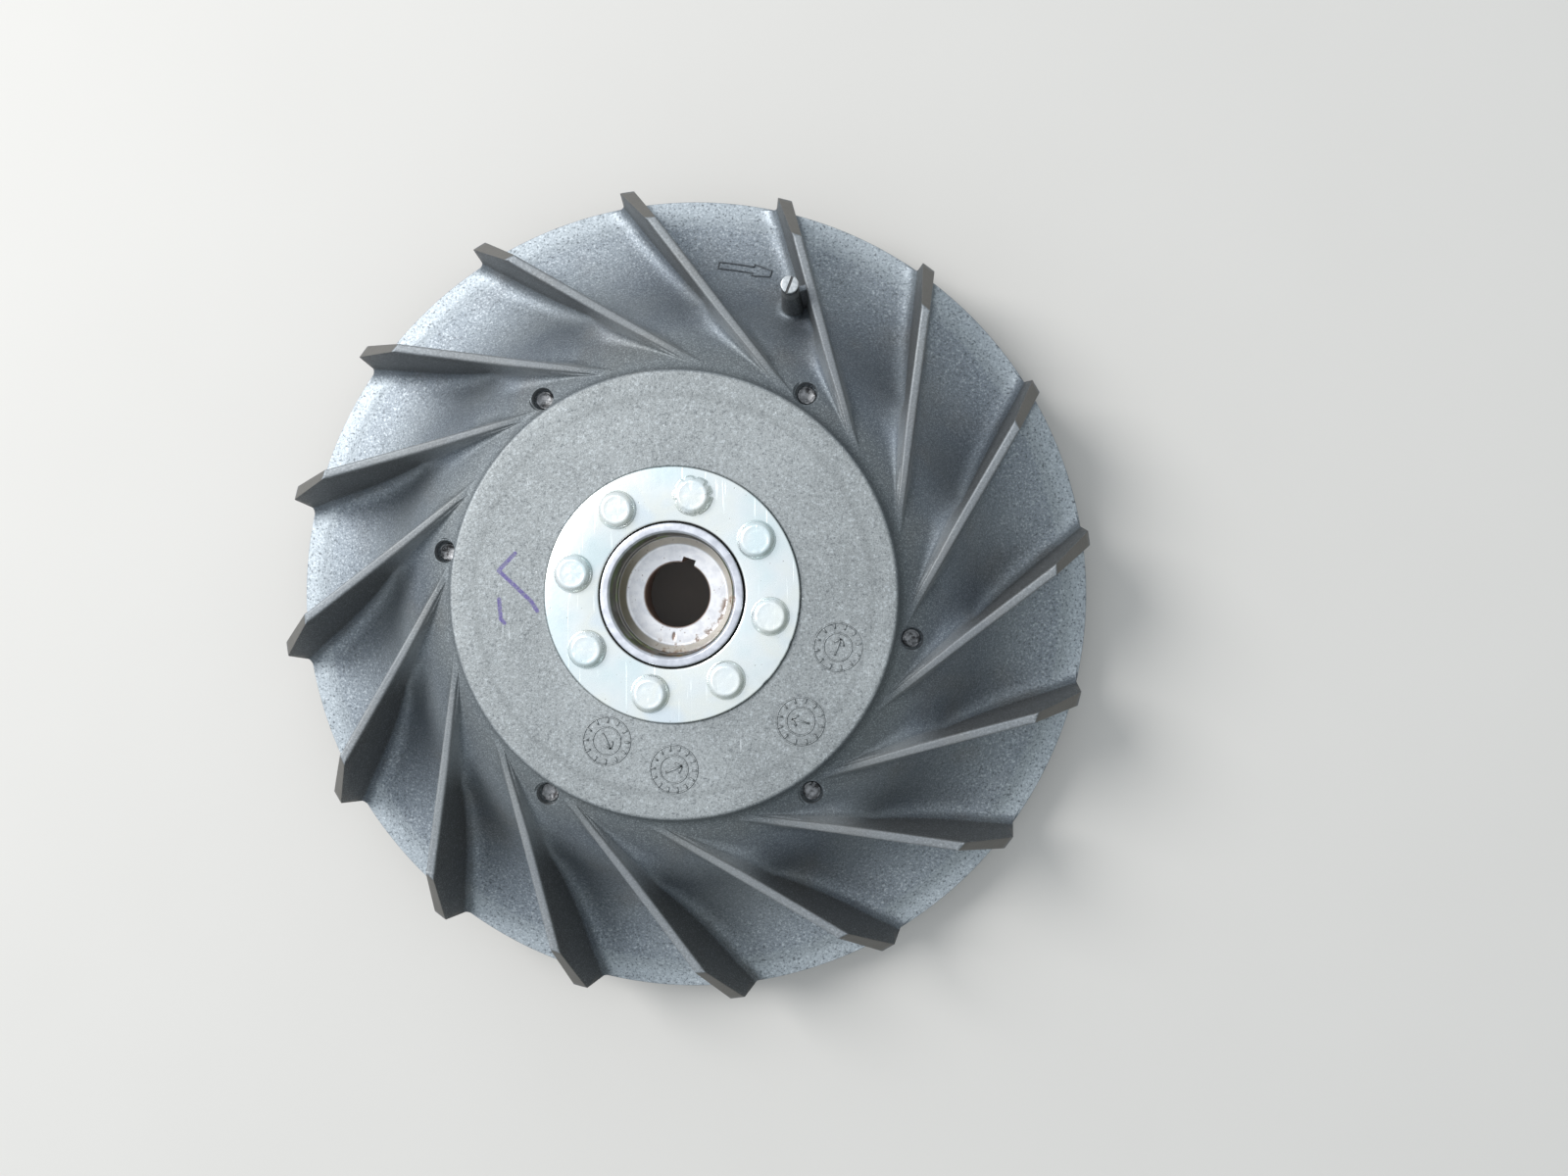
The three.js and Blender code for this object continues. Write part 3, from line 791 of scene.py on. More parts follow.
# Sand-blasted casting with a worn dome, dark flanks and turned tips; the flanks also carry painted
# shade.
# Raised marks get painted shade on their steep sides, and the arrow is darkened all over as painted
# shade.
def castAluminium(name, shadeOnMarks):
    f = Finish(name)
    x, y, z = f.parts(f.place)
    radial, height = f.radius() / mm, z / mm
    up = f.upness()
    steep = 1 - up.maths("ABSOLUTE")
    dome = (1 - radial.ramp(49.3, 50.4)) * height.ramp(44.3, 45.3)
    flankToneAndShade = steep.ramp(0.5, 0.85) * radial.ramp(56.0, 72.0)
    crest = height.ramp(bladeTop - 1.5, bladeTop - 0.1) * radial.ramp(53.0, 58.0)
    crest = crest * (1 - radial.ramp(tipShoulder - 0.6, tipShoulder + 0.5))
    overFloor = height.ramp(rimZ + 4.0, rimZ + 9.0) * radial.ramp(tipShoulder - 0.2, tipShoulder + 0.4)
    machined = (overFloor * up.ramp(0.45, 0.6) + overFloor * radial.ramp(96.0, 96.4)).clamp()
    outer = radial.ramp(66.0, 97.0) * up.ramp(0.62, 0.9)
    foot = radial.ramp(49.6, 50.6) * (1 - radial.ramp(54.0, 62.0))
    grain = f.noise(0.62, 2.0, 0.6)
    fineGrain = f.noise(0.3, 1.0, 0.5)
    coarse = f.noise(5.0, 4.0, 0.6)
    cloudy = f.noise(26.0, 3.0, 0.5)
    warm = f.noise(17.0, 2.0, 0.5)
    base = f.mix(cloudy.ramp(0.35, 0.65), (0.148, 0.172, 0.200), (0.198, 0.222, 0.240))
    base = f.mix(warm.ramp(0.5, 0.72) * 0.35, base, (0.18, 0.168, 0.15))
    base = f.mix(outer * 0.68, base, (0.33, 0.37, 0.41))
    base = f.mix(radial.ramp(90.4, 92.4) * up.ramp(0.8, 0.95) * 0.5, base, (0.55, 0.60, 0.63))
    domeTone = f.mix(cloudy.ramp(0.3, 0.7), (0.255, 0.270, 0.272), (0.330, 0.348, 0.350))
    domeTone = f.mix(coarse.ramp(0.4, 0.7) * 0.25, domeTone, (0.40, 0.42, 0.42))
    base = f.mix(dome, base, domeTone)
    # Band round the dome's foot darkened: the fillet's smoother cast tone and painted shade in the
    # crease.
    base = f.mix(foot * 0.55, base, (0.115, 0.125, 0.122))
    # Blade flanks darkened: their own dark cast colour and painted shade on the sides.
    base = f.mix(flankToneAndShade * 0.8, base, (0.085, 0.083, 0.078))
    # Painted shade on the steep sides of the raised marks on the dome.
    markSideShade = (1 - up.ramp(0.55, 0.93)) * dome * height.ramp(45.55, 45.6)
    base = f.mix(markSideShade * 0.75, base, (0.075, 0.08, 0.08))
    speckle = 0.12 + outer * 0.62 + dome * 0.24
    base = f.mix(grain.ramp(0.52, 0.74) * speckle, base, (0.68, 0.73, 0.76))
    base = f.mix(grain.ramp(0.46, 0.28) * (0.25 + speckle * 0.8), base, (0.07, 0.08, 0.09))
    base = f.mix(fineGrain.ramp(0.52, 0.72) * 0.3, base, (0.52, 0.56, 0.58))
    base = f.mix(fineGrain.ramp(0.48, 0.30) * 0.3, base, (0.06, 0.07, 0.08))
    if shadeOnMarks:
        # Painted shade on the steep sides of the raised marks.
        edges = 1 - up.ramp(0.5, 0.78)
        base = f.mix(edges * 0.8, base, (0.05, 0.055, 0.06))
        # The arrow on the disc darkened all over: painted shade.
        base = f.mix(radial.ramp(70.0, 71.0) * 0.65, base, (0.06, 0.065, 0.07))
    inner = (1 - radial.ramp(56.0, 72.0)) * radial.ramp(52.0, 54.0) * steep.ramp(0.3, 0.6)
    base = f.mix(inner * 0.65, base, (0.37, 0.385, 0.39))
    base = f.mix(crest * 0.45, base, (0.25, 0.25, 0.245))
    base = f.mix(machined, base, (0.14, 0.135, 0.125))
    scratch = f.noise(1.1, 2.0, 0.6, f.stretched((1, 0.035, 1), 12)).ramp(0.70, 0.76)
    scratch = scratch + f.noise(1.3, 2.0, 0.6, f.stretched((1, 0.03, 1), -64)).ramp(0.71, 0.77)
    scratch = scratch * coarse.ramp(0.45, 0.6) * (0.25 + dome * 0.75)
    dings = (1 - f.cells(5.2).ramp(0.03, 0.05)) * (0.3 + dome * 0.3)
    bright = (scratch * 0.6 + dings).clamp() * up.ramp(0.5, 0.9)
    base = f.mix(bright * 0.8, base, (0.72, 0.75, 0.76))
    ghost = radial.ramp(43.2, 44.2) * (1 - radial.ramp(44.6, 45.8)) * dome
    base = f.mix(ghost * 0.22, base, (0.14, 0.15, 0.15))
    ink = penLine(x / mm, y / mm, marker["tick"], marker["width"])
    ink = ink.maths("MAXIMUM", penLine(x / mm, y / mm, marker["bar"], marker["width"]))
    ink = ink * dome * (0.55 + grain.ramp(0.35, 0.6) * 0.45)
    base = f.mix(ink * 0.88, base, marker["ink"])
    roughness = 0.50 + coarse * 0.14 - machined * 0.10 - bright * 0.15 - ink * 0.1
    metallic = 0.55 - dome * 0.1 - ink * 0.35
    fine = f.bump(grain + fineGrain * 0.5, 0.12, 0.5)
    relief = f.noise(1.8, 3.0, 0.6) - scratch * 0.2 - dings * 0.3
    rough = f.bump(relief * (0.3 + dome * 0.45), 0.22, 0.6, fine)
    normal = f.bump(f.noise(11.0, 2.0, 0.5), 0.45, 0.3, rough)
    return f.wear(base, roughness, metallic, normal)


smoothMesh(fan.data, 34)
fanPiece = finishObject("fanBody", fan.data, castAluminium("castAluminium", False))
bpy.data.objects.remove(fan)
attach(fanPiece, "root")
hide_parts("fan_casting")
print("fan casting finished")


# Shapes set out on given points, each turned to face away from the axis.
def setOutTree():
    p = Pattern("setOut", {"Shape": "Object", "Turn Spread": "Float", "Size Spread": "Float",
                           "Seed": "Int", "Material": "Material"})
    x, y = p.parts(p.node("GeometryNodeInputPosition", {}, {}))[:2]
    heading = y.maths("ARCTAN2", x)
    spread = p.given("Turn Spread")
    spin = p.random(spread * -0.5, spread * 0.5, p.given("Seed"))
    size = p.random(1 - p.given("Size Spread"), 1.0, p.given("Seed") + 1)
    facing = p.vector(z=heading + spin)
    across = p.vector(size, size, 1.0)
    shape = p.node("GeometryNodeObjectInfo", {}, {"Object": p.given("Shape")}, "Geometry")
    many = p.node("GeometryNodeInstanceOnPoints", {}, {
        "Points": p.given("Geometry"), "Instance": shape, "Rotation": facing, "Scale": across})
    return p.end(many)


# Section of a raised line, with its middle on the surface.
def lineSection(p):
    section = p.node("GeometryNodeCurvePrimitiveCircle", {}, {"Resolution": 6, "Radius": 0.5})
    size = p.vector(p.given("Line Width"), p.given("Line Height") * 2, 1.0)
    return p.node("GeometryNodeTransform", {}, {"Geometry": section, "Scale": size})


# A raised line along the edges of a mesh that lies on a surface.
def beadTree():
    p = Pattern("bead", {"Line Width": "Float", "Line Height": "Float", "Material": "Material"})
    path = p.node("GeometryNodeMeshToCurve", {}, {"Mesh": p.given("Geometry")})
    upright = p.node("GeometryNodeSetCurveNormal", {"mode": "Z_UP"}, {"Curve": path})
    bead = p.node("GeometryNodeCurveToMesh", {}, {
        "Curve": upright, "Profile Curve": lineSection(p), "Fill Caps": True})
    return p.end(bead)


# Raised dial of a mould stamp: two rings, radial ticks between them, and a pointer across.
def dialTree():
    p = Pattern("dial", {"Outer Radius": "Float", "Inner Radius": "Float", "Tick Length": "Float",
                         "Ticks": "Int", "Line Width": "Float", "Line Height": "Float",
                         "Turn": "Float", "Material": "Material"})
    width = p.given("Line Width")
    flat = lineSection(p)
    made = []
    for ring in ("Outer Radius", "Inner Radius"):
        circle = p.node("GeometryNodeCurvePrimitiveCircle", {}, {
            "Resolution": 56, "Radius": p.given(ring)})
        made.append(p.node("GeometryNodeCurveToMesh", {}, {"Curve": circle, "Profile Curve": flat}))
    reach = p.given("Outer Radius") - p.given("Tick Length") * 0.5
    spots = p.node("GeometryNodeMeshCircle", {}, {"Vertices": p.given("Ticks"), "Radius": reach})
    x, y = p.parts(p.node("GeometryNodeInputPosition", {}, {}))[:2]
    facing = p.vector(z=y.maths("ARCTAN2", x))
    high = p.given("Line Height") * 2
    bar = p.vector(p.given("Tick Length"), width, high)
    tick = p.node("GeometryNodeMeshCube", {}, {"Size": bar})
    made.append(p.node("GeometryNodeInstanceOnPoints", {}, {
        "Points": spots, "Instance": tick, "Rotation": facing}))
    inside = p.given("Inner Radius")
    hand = p.vector(inside * 1.3, width, high)
    made.append(p.node("GeometryNodeMeshCube", {}, {"Size": hand}))
    for side in (-1, 1):
        barb = p.node("GeometryNodeMeshCube", {}, {"Size": p.vector(inside * 0.55, width, high)})
        place = p.vector(inside * 0.42, inside * 0.2 * side)
        made.append(p.node("GeometryNodeTransform", {}, {
            "Geometry": barb, "Translation": place, "Rotation": p.vector(z=-0.75 * side)}))
    turned = p.node("GeometryNodeTransform", {}, {
        "Geometry": p.together(made), "Rotation": p.vector(z=p.given("Turn"))})
    return p.end(p.node("GeometryNodeInstanceOnPoints", {}, {
        "Points": p.given("Geometry"), "Instance": turned}))


# Presses shallow marks into a mesh above a height. Points only move against their normals.
def dent(mesh, depth, size, seed, low=-math.inf):
    shift = Vector((seed * 13.7, seed * 7.1, seed * 3.3))
    moves = []
    for v in mesh.vertices:
        if v.co.z / mm < low:
            moves.append(None)
            continue
        p = v.co / (size * mm) + shift
        amount = max(0.0, noise.noise(p) + 0.35 * noise.noise(p * 2.7) - 0.05)
        moves.append(v.normal * (-amount * depth * mm))
    for v, move in zip(mesh.vertices, moves):
        if move is not None:
            v.co += move
    mesh.update()


def pointCloud(name, places):
    return meshFrom(name, places, [])


def nodePlaces(names):
    return pointCloud("nodePlaces", [(*middle(name), 0) for name in names])


# Steel hub with its puller thread, nut seat, taper and keyway.
hub = {
    "flangeThickness": 4.0,
    "wall": 2.42,
    "recessDepth": 10.2,
    "recessStep": 0.2,
    "seatBevel": 1.8,
    "threadLength": 6.0,
    "threadPitch": 1.0,
    "threadDepth": 0.5,
    "threadBevel": 0.75,
    "undercutDepth": 0.8,
    "undercutHeight": 1.2,
    "edge": 0.45,
    "taperRadius": 7.42,
    "taperPerMm": 0.1,
    "boreEdge": 0.35,
    "keyWidth": 3.0,
    "keyDepth": 1.33,
    "keyAngle": 71.0,
    "pipAngle": -95.0,            # a small hollow in the nut seat
    "pipRadius": 9.6,
    "pipLength": 2.2,
    "pipWidth": 0.9,
    "pipDepth": 0.22,
    "rivetHole": 2.62,
    "sides": 192,
}
h = hub
plateTop = plateHigh[2]
hubLip = hubHigh[2]
seatZ = hubLip - h["recessDepth"]
hubBack = hubLow[2]
flangeRadius = hubHigh[0]
flangeTop = plateBottom - casting["domeRoof"]
flangeBottom = flangeTop - h["flangeThickness"]
crestRadius = hubRadius - h["wall"]


# How deep the thread is cut at a height and a direction.
def threadCut(z, a):
    top, bottom = hubLip - h["threadBevel"], hubLip - h["threadLength"]
    fade = min(1.0, max(0.0, (top - z) / 0.4)) * min(1.0, max(0.0, (z - bottom) / 0.3))
    phase = (z / h["threadPitch"] + a / turn) % 1.0
    return h["threadDepth"] * fade * max(0.0, min(1.0, 2.6 * abs(phase - 0.5) - 0.15))


def hubOutline():
    recess = crestRadius - h["recessStep"]
    bottom = hubLip - h["threadLength"]
    under = bottom - h["undercutHeight"]
    bigEnd = h["taperRadius"] + h["taperPerMm"] * (seatZ - hubBack)
    outside = [
        (bigEnd + 0.5, hubBack, 0), (hubRadius, hubBack, 0.5), (hubRadius, flangeBottom, 0.8),
        (flangeRadius, flangeBottom, 0.5), (flangeRadius, flangeTop, 0.3), (hubRadius, flangeTop, 0.1),
        (hubRadius, hubLip, h["edge"]), (crestRadius + h["threadBevel"], hubLip, 0.12),
        (crestRadius, hubLip - h["threadBevel"], 0.08)]
    out = rounded(outside, closed=False)
    steps = int((h["threadLength"] - h["threadBevel"]) / h["threadPitch"] * 12)
    for i in range(1, steps + 1):
        out.append((crestRadius, hubLip - h["threadBevel"] - i * h["threadPitch"] / 12))
    wide = crestRadius + h["undercutDepth"]
    inside = [(crestRadius, bottom, 0), (wide, bottom - 0.1, 0.15), (wide, under, 0.25),
              (recess, under - 0.15, 0.2), (recess, seatZ + h["seatBevel"], 0.5),
              (recess - h["seatBevel"], seatZ, 0.3)]
    inside.append((recess - h["seatBevel"] - 0.6, seatZ, 0))
    out += rounded(inside, closed=False)[1:]
    start, end = recess - h["seatBevel"] - 0.6, h["taperRadius"] + h["boreEdge"]
    out += [(start + (end - start) * i / 12, seatZ) for i in range(1, 13)]
    for i in range(13):
        z = seatZ - h["boreEdge"] - (seatZ - h["boreEdge"] - hubBack - 0.5) * i / 12
        out.append((h["taperRadius"] + h["taperPerMm"] * (seatZ - z), z))
    return out


def hubMesh():
    pip = rad(h["pipAngle"])
    rows = []
    for r, z in hubOutline():
        ring = []
        for j in range(h["sides"]):
            a = turn * j / h["sides"]
            deep = threadCut(z, a) if abs(r - crestRadius) < 0.01 else 0.0
            x, y = (r + deep) * math.cos(a), (r + deep) * math.sin(a)
            drop = 0.0
            if z == seatZ:
                along = x * math.cos(pip) + y * math.sin(pip) - h["pipRadius"]
                across = -x * math.sin(pip) + y * math.cos(pip)
                away = math.hypot(along / h["pipLength"], across / h["pipWidth"]) * 2
                drop = h["pipDepth"] * max(0.0, 1 - away ** 3)
            ring.append((x, y, z - drop))
        rows.append(ring)
    return closedGrid("steelHub", rows)


def keyCutter():
    a = rad(h["keyAngle"])
    along = Vector((math.cos(a), math.sin(a), 0))
    side = Vector((-along.y, along.x, 0)) * h["keyWidth"] / 2
    top, bottom = seatZ + 1, hubBack - 1
    points = []
    for z in (bottom, top):
        reach = h["taperRadius"] + h["keyDepth"] + h["taperPerMm"] * (seatZ - z)
        for r, sign in ((0, -1), (reach, -1), (reach, 1), (0, 1)):
            q = along * r + side * sign
            points.append((q.x, q.y, z))
    return blockMesh("keyCutter", points)


# A hole through the target at each named node's place.
def drilled(target, names, radius, low, high):
    outline = [(0, low), (radius, low), (radius, high), (0, high)]
    drill = looseObject(turnedMesh("drill", outline, 32, onAxis=True))
    bits = grow("drills", nodePlaces(names), setOut, {"Shape": drill, "Seed": 1})
    bpy.data.objects.remove(drill)
    return applyBoolean(target, looseObject(bits), "DIFFERENCE")


setOut = setOutTree()
beadAlong = beadTree()
dial = dialTree()


# Turned steel: bright on the lip and the nut seat, rusty in patches. The recess wall is darkened with
# painted shade and has olive patches; the left of the seat's cone has painted shade and a painted dark
# reflection.
def turnedSteel():
    f = Finish("turnedSteel")
    x, y, z = f.parts(f.place)
    radial, height = f.radius() / mm, z / mm
    angle = y.maths("ARCTAN2", x)
    wall = height.ramp(seatZ + 1.7, seatZ + 2.0) * (1 - height.ramp(hubLip - 0.6, hubLip - 0.3))
    boreMouth = 1 - radial.ramp(h["taperRadius"] + 0.1, h["taperRadius"] + 0.3)
    deeper = (1 - height.ramp(seatZ - 0.6, seatZ - 0.4)) * (1 - radial.ramp(12.0, 14.0))
    bore = (boreMouth + deeper).clamp()
    seat = (1 - height.ramp(seatZ + 1.5, seatZ + 1.9)) * (1 - bore)
    cone = seat * height.ramp(seatZ + 0.1, seatZ + 0.4)
    tool = f.noise(0.16, 2.0, 0.5, f.vector(radial * mm, height * mm, angle * 0.0002))
    blotch = f.noise(2.4, 4.0, 0.6)
    patch = f.noise(5.5, 2.0, 0.5)
    spots = 1 - f.cells(0.9).ramp(0.12, 0.28)
    spots = spots * f.noise(3.1, 1.0).ramp(0.5, 0.62)
    rustSide = ((x * 0.6 - y * 0.8) / mm).ramp(1.0, 9.0)
    base = f.mix(blotch.ramp(0.3, 0.7), (0.60, 0.61, 0.66), (0.80, 0.81, 0.86))
    base = f.mix(seat * (0.6 + blotch.ramp(0.35, 0.6) * 0.4), base, (0.97, 0.96, 0.97))
    base = f.mix(cone * 0.6, base, (0.72, 0.64, 0.50))
    # Left side of the seat's cone darkened: painted shade and a painted dark reflection.
    darkPatch = (1 - (x / mm).ramp(-13.0, -3.0)) * cone
    base = f.mix(darkPatch * 0.85, base, (0.13, 0.12, 0.07))
    # Recess wall darkened: painted shade.
    base = f.mix(wall * 0.85, base, (0.085, 0.07, 0.045))
    base = f.mix(wall * patch.ramp(0.5, 0.65) * 0.7, base, (0.16, 0.20, 0.09))
    rust = blotch.ramp(0.5, 0.66) * rustSide * (1 - radial.ramp(14.0, 14.6)) * radial.ramp(9.6, 11.2)
    rust = (rust * 0.85 + spots * 0.5 * (1 - radial.ramp(13.4, 14.2))).clamp()
    base = f.mix(rust, base, (0.17, 0.085, 0.035))
    base = f.mix(bore * 0.95, base, (0.36, 0.245, 0.19))
    pipX, pipY = math.cos(rad(h["pipAngle"])), math.sin(rad(h["pipAngle"]))
    along = (x * pipX + y * pipY) / mm
    across = (y * pipX - x * pipY) / mm
    near = ((along - h["pipRadius"]) / h["pipLength"]) ** 2.0 + (across / h["pipWidth"]) ** 2.0
    base = f.mix((1 - near.ramp(0.1, 0.3)) * seat * 0.8, base, (0.20, 0.10, 0.045))
    roughness = 0.30 + blotch * 0.12 + rust * 0.3 + bore * 0.15 - wall * 0.06
    metallic = 0.95 - rust * 0.6 - bore * 0.6 - seat * 0.35
    normal = f.bump(tool + spots * 0.4 - rust * 0.3, 0.03, 0.6)
    return f.wear(base, roughness, metallic, normal)


hubObject = looseObject(hubMesh())
hubObject = applyBoolean(hubObject, looseObject(keyCutter()), "DIFFERENCE")
hubObject = drilled(hubObject, hubRivetNames, h["rivetHole"], flangeBottom - 1, flangeTop + 1)
smoothMesh(hubObject.data, 38)
steelHub = finishObject("steelHub", hubObject.data, turnedSteel())
bpy.data.objects.remove(hubObject)
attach(steelHub, "root")
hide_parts("steel_hub")
print("hub finished:", len(steelHub.data.polygons), "faces")


# Zinc-plated rivet plate. Nicks are (direction, width in degrees, depth) on its outer edge.
plate = {
    "edge": 0.4,
    "innerEdge": 0.7,
    "gap": 0.24,                  # round the hub
    "nicks": ((-3, 1.0, 0.05), (-9, 0.8, 0.08), (-22, 1.6, 0.12), (-31, 1.2, 0.1), (-43, 2.2, 0.16),
              (-58, 1.0, 0.05), (142, 1.2, 0.05), (95, 0.8, 0.05)),
    "sides": 288,
}


# How far the plate's edge is nicked in a direction.
def plateNick(a):
    degrees = math.degrees(a)
    total = 0.0
    for at, width, depth in plate["nicks"]:
        off = abs((degrees - at + 180) % 360 - 180) / width
        total += depth * max(0.0, 1 - off * off)
    return total


def plateMesh():
    inner, outer = hubRadius + plate["gap"], plateHigh[0]
    outline = rounded([(inner, plateBottom, 0.1), (outer, plateBottom, 0.2),
                       (outer, plateTop, plate["edge"]), (inner, plateTop, plate["innerEdge"])])
    rows = []
    for r, z in outline:
        ring = []
        for j in range(plate["sides"]):
            a = turn * j / plate["sides"]
            edge = max(0.0, 1 - (outer - r) / 0.8)
            out = r - plateNick(a) * edge * (0.4 + 0.6 * (z - plateBottom) / (plateTop - plateBottom))
            sink = plateNick(a) * 0.5 * edge if z > plateTop - 0.5 else 0.0
            ring.append((out * math.cos(a), out * math.sin(a), z - sink))
        rows.append(ring)
    return closedGrid("rivetPlate", rows)


# Zinc plating with a faint tint, scratches and pits, and painted shade in the gap round the hub.
# Scuffed plating is duller and chipped, and painted shade darkens it low down.
def zincPlating(name, scuffed):
    f = Finish(name)
    height = f.parts(f.place)[2] / mm
    tint = f.noise(11.0, 2.0, 0.5)
    cloud = f.noise(4.5, 3.0, 0.55)
    scratchA = f.noise(0.9, 2.0, 0.6, f.stretched((1, 0.05, 1), 24)).ramp(0.66, 0.72)
    scratchB = f.noise(1.3, 2.0, 0.6, f.stretched((1, 0.04, 1), -57)).ramp(0.67, 0.73)
    pits = 1 - f.cells(1.6).ramp(0.05, 0.12)
    pits = pits * f.noise(5.0, 1.0).ramp(0.5, 0.6)
    base = f.stops(tint, ((0.30, (0.82, 0.93, 0.94)), (0.48, (0.93, 0.97, 0.96)),
                          (0.60, (0.95, 0.97, 0.92)), (0.72, (0.86, 0.93, 0.97))))
    base = f.mix(cloud.ramp(0.5, 0.75) * 0.2, base, (0.74, 0.80, 0.84))
    base = f.mix(pits * 0.7, base, (0.16, 0.15, 0.13))
    # Painted shade round the inner edge, in the gap at the hub.
    gap = 1 - (f.radius() / mm).ramp(hubRadius + 0.3, hubRadius + 0.75)
    base = f.mix(gap * 0.9, base, (0.10, 0.08, 0.07))
    marks = (scratchA + scratchB).clamp()
    dull = f.noise(1.2, 3.0, 0.6).ramp(0.45, 0.7) * scuffed
    base = f.mix(dull * 0.3, base, (0.60, 0.64, 0.64))
    chip = f.noise(0.7, 3.0, 0.65).ramp(0.66, 0.72) * f.noise(2.6, 1.0).ramp(0.5, 0.62) * scuffed
    base = f.mix(chip * 0.8, base, (0.15, 0.12, 0.09))
    # Painted shade low on the rivet heads where they meet the plate; on the plate it darkens the whole
    # top a little.
    headFootShade = (1 - height.ramp(plateTop + 0.4, plateTop + 1.3)) * scuffed
    base = f.mix(headFootShade * 0.7, base, (0.20, 0.21, 0.19))
    roughness = 0.24 + cloud * 0.08 + marks * 0.14 + dull * 0.15 - scuffed * 0.05
    normal = f.bump(f.noise(0.8, 3.0, 0.6) * (0.4 + scuffed) - pits * 0.8 - marks * 0.5, 0.05, 0.5)
    return f.wear(base, roughness, 0.9 - pits * 0.5, normal)


plateObject = drilled(looseObject(plateMesh()), hubRivetNames, h["rivetHole"], plateBottom - 1,
                      plateTop + 1)
smoothMesh(plateObject.data, 34)
rivetPlate = finishObject("rivetPlate", plateObject.data, zincPlating("zincPlate", 0.15))
bpy.data.objects.remove(plateObject)
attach(rivetPlate, "root")
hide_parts("rivet_plate")


# Hub rivets: flat-domed heads on both sides. The first one split when it was set.
hubRivet = {
    "headRadius": 4.4,
    "headHeight": 2.1,
    "crown": 3.1,                 # flat middle of the head
    "shank": 2.5,
    "dents": 0.10,
    "dentSize": 1.3,
    "sides": 56,
    "splits": ((2, 0.50), (37, 0.42), (80, 0.20), (118, 0.26), (158, 0.30), (196, 0.46), (284, 0.16)),
    "splitWidth": 7.0,            # degrees to each side of a split
    "splitSides": 144,
}


# One rivet, from its lower head to its upper one.
def hubRivetMesh(name, sides, centre=(0, 0)):
    head, height = hubRivet["headRadius"], hubRivet["headHeight"]
    crown, shank = hubRivet["crown"], hubRivet["shank"]
    top, bottom = plateTop, flangeBottom
    side = [(crown, height, 0.35), (head - 0.22, height * 0.6, 0.5), (head, height * 0.14, 0.2),
            (head - 0.06, 0.0, 0)]
    front = rounded([(0, height, 0)] + side, closed=False, steps=5)
    out = [(0, top + height)]
    out += [(crown * t, top + height - 0.04 * t * t) for t in (0.3, 0.6, 0.85)]
    out += [(r, top + z) for r, z in front[1:]]
    out += [(shank, top), (shank, bottom)]
    out += [(r, bottom - z) for r, z in reversed(front[1:])]
    out += [(crown * 0.5, bottom - height), (0, bottom - height)]
    return turnedMesh(name, list(reversed(out)), sides, centre, onAxis=True)


# Splits the rim of a rivet's upper head into petals.
def splitRim(mesh, centre):
    head, crown = hubRivet["headRadius"], hubRivet["crown"]
    for v in mesh.vertices:
        x, y = v.co.x / mm - centre[0], v.co.y / mm - centre[1]
        r = math.hypot(x, y)
        if r < crown or v.co.z / mm < plateTop - 0.1:
            continue
        degrees = math.degrees(math.atan2(y, x))
        share = (r - crown) / (head - crown)
        notch = 0.0
        for at, depth in hubRivet["splits"]:
            off = abs((degrees - at + 180) % 360 - 180) / hubRivet["splitWidth"]
            notch += depth * max(0.0, 1 - off)
        petal = 0.28 * (0.5 + noise.noise(Vector((degrees / 26, 1.7, 0.4))))
        grown = r + share * share * (petal - notch * 2.0)
        v.co.x = (centre[0] + x / r * grown) * mm
        v.co.y = (centre[1] + y / r * grown) * mm
    mesh.update()


rivetShape = looseObject(hubRivetMesh("rivetShape", hubRivet["sides"]))
zincRivet = zincPlating("zincRivet", 0.9)
rivets = grow("hubRivets", nodePlaces(hubRivetNames[1:]), setOut,
              {"Shape": rivetShape, "Turn Spread": 6.0, "Size Spread": 0.02, "Seed": 11})
dent(rivets, hubRivet["dents"], hubRivet["dentSize"], 2.0, plateTop + 0.3)
smoothMesh(rivets, 42)
hubRivets = finishObject("hubRivets", rivets, zincRivet)
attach(hubRivets, "root")
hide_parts(*hubRivetNames[1:])

splitPlace = middle("hub_rivet_1")
splitMesh = hubRivetMesh("splitRivet", hubRivet["splitSides"], splitPlace)
splitRim(splitMesh, splitPlace)
dent(splitMesh, hubRivet["dents"], hubRivet["dentSize"], 5.0, plateTop + 0.3)
smoothMesh(splitMesh, 42)
splitRivet = finishObject("splitRivet", splitMesh, zincRivet)
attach(splitRivet, "root")
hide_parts("hub_rivet_1")
bpy.data.objects.remove(rivetShape)
print("plate and hub rivets finished")


# Drawn steel ring that holds the magnets.
yoke = {
    "wall": 3.2,
    "corner": 5.0,
    "innerCorner": 1.2,
    "flangeWidth": 10.6,
    "rivetHole": 1.72,
    "sides": 192,
}
yokeTop, yokeBottom, yokeRadius = yokeHigh[2], yokeLow[2], yokeHigh[0]
yokeInner = yokeRadius - yoke["wall"]
flangeUnder = yokeTop - yoke["wall"]


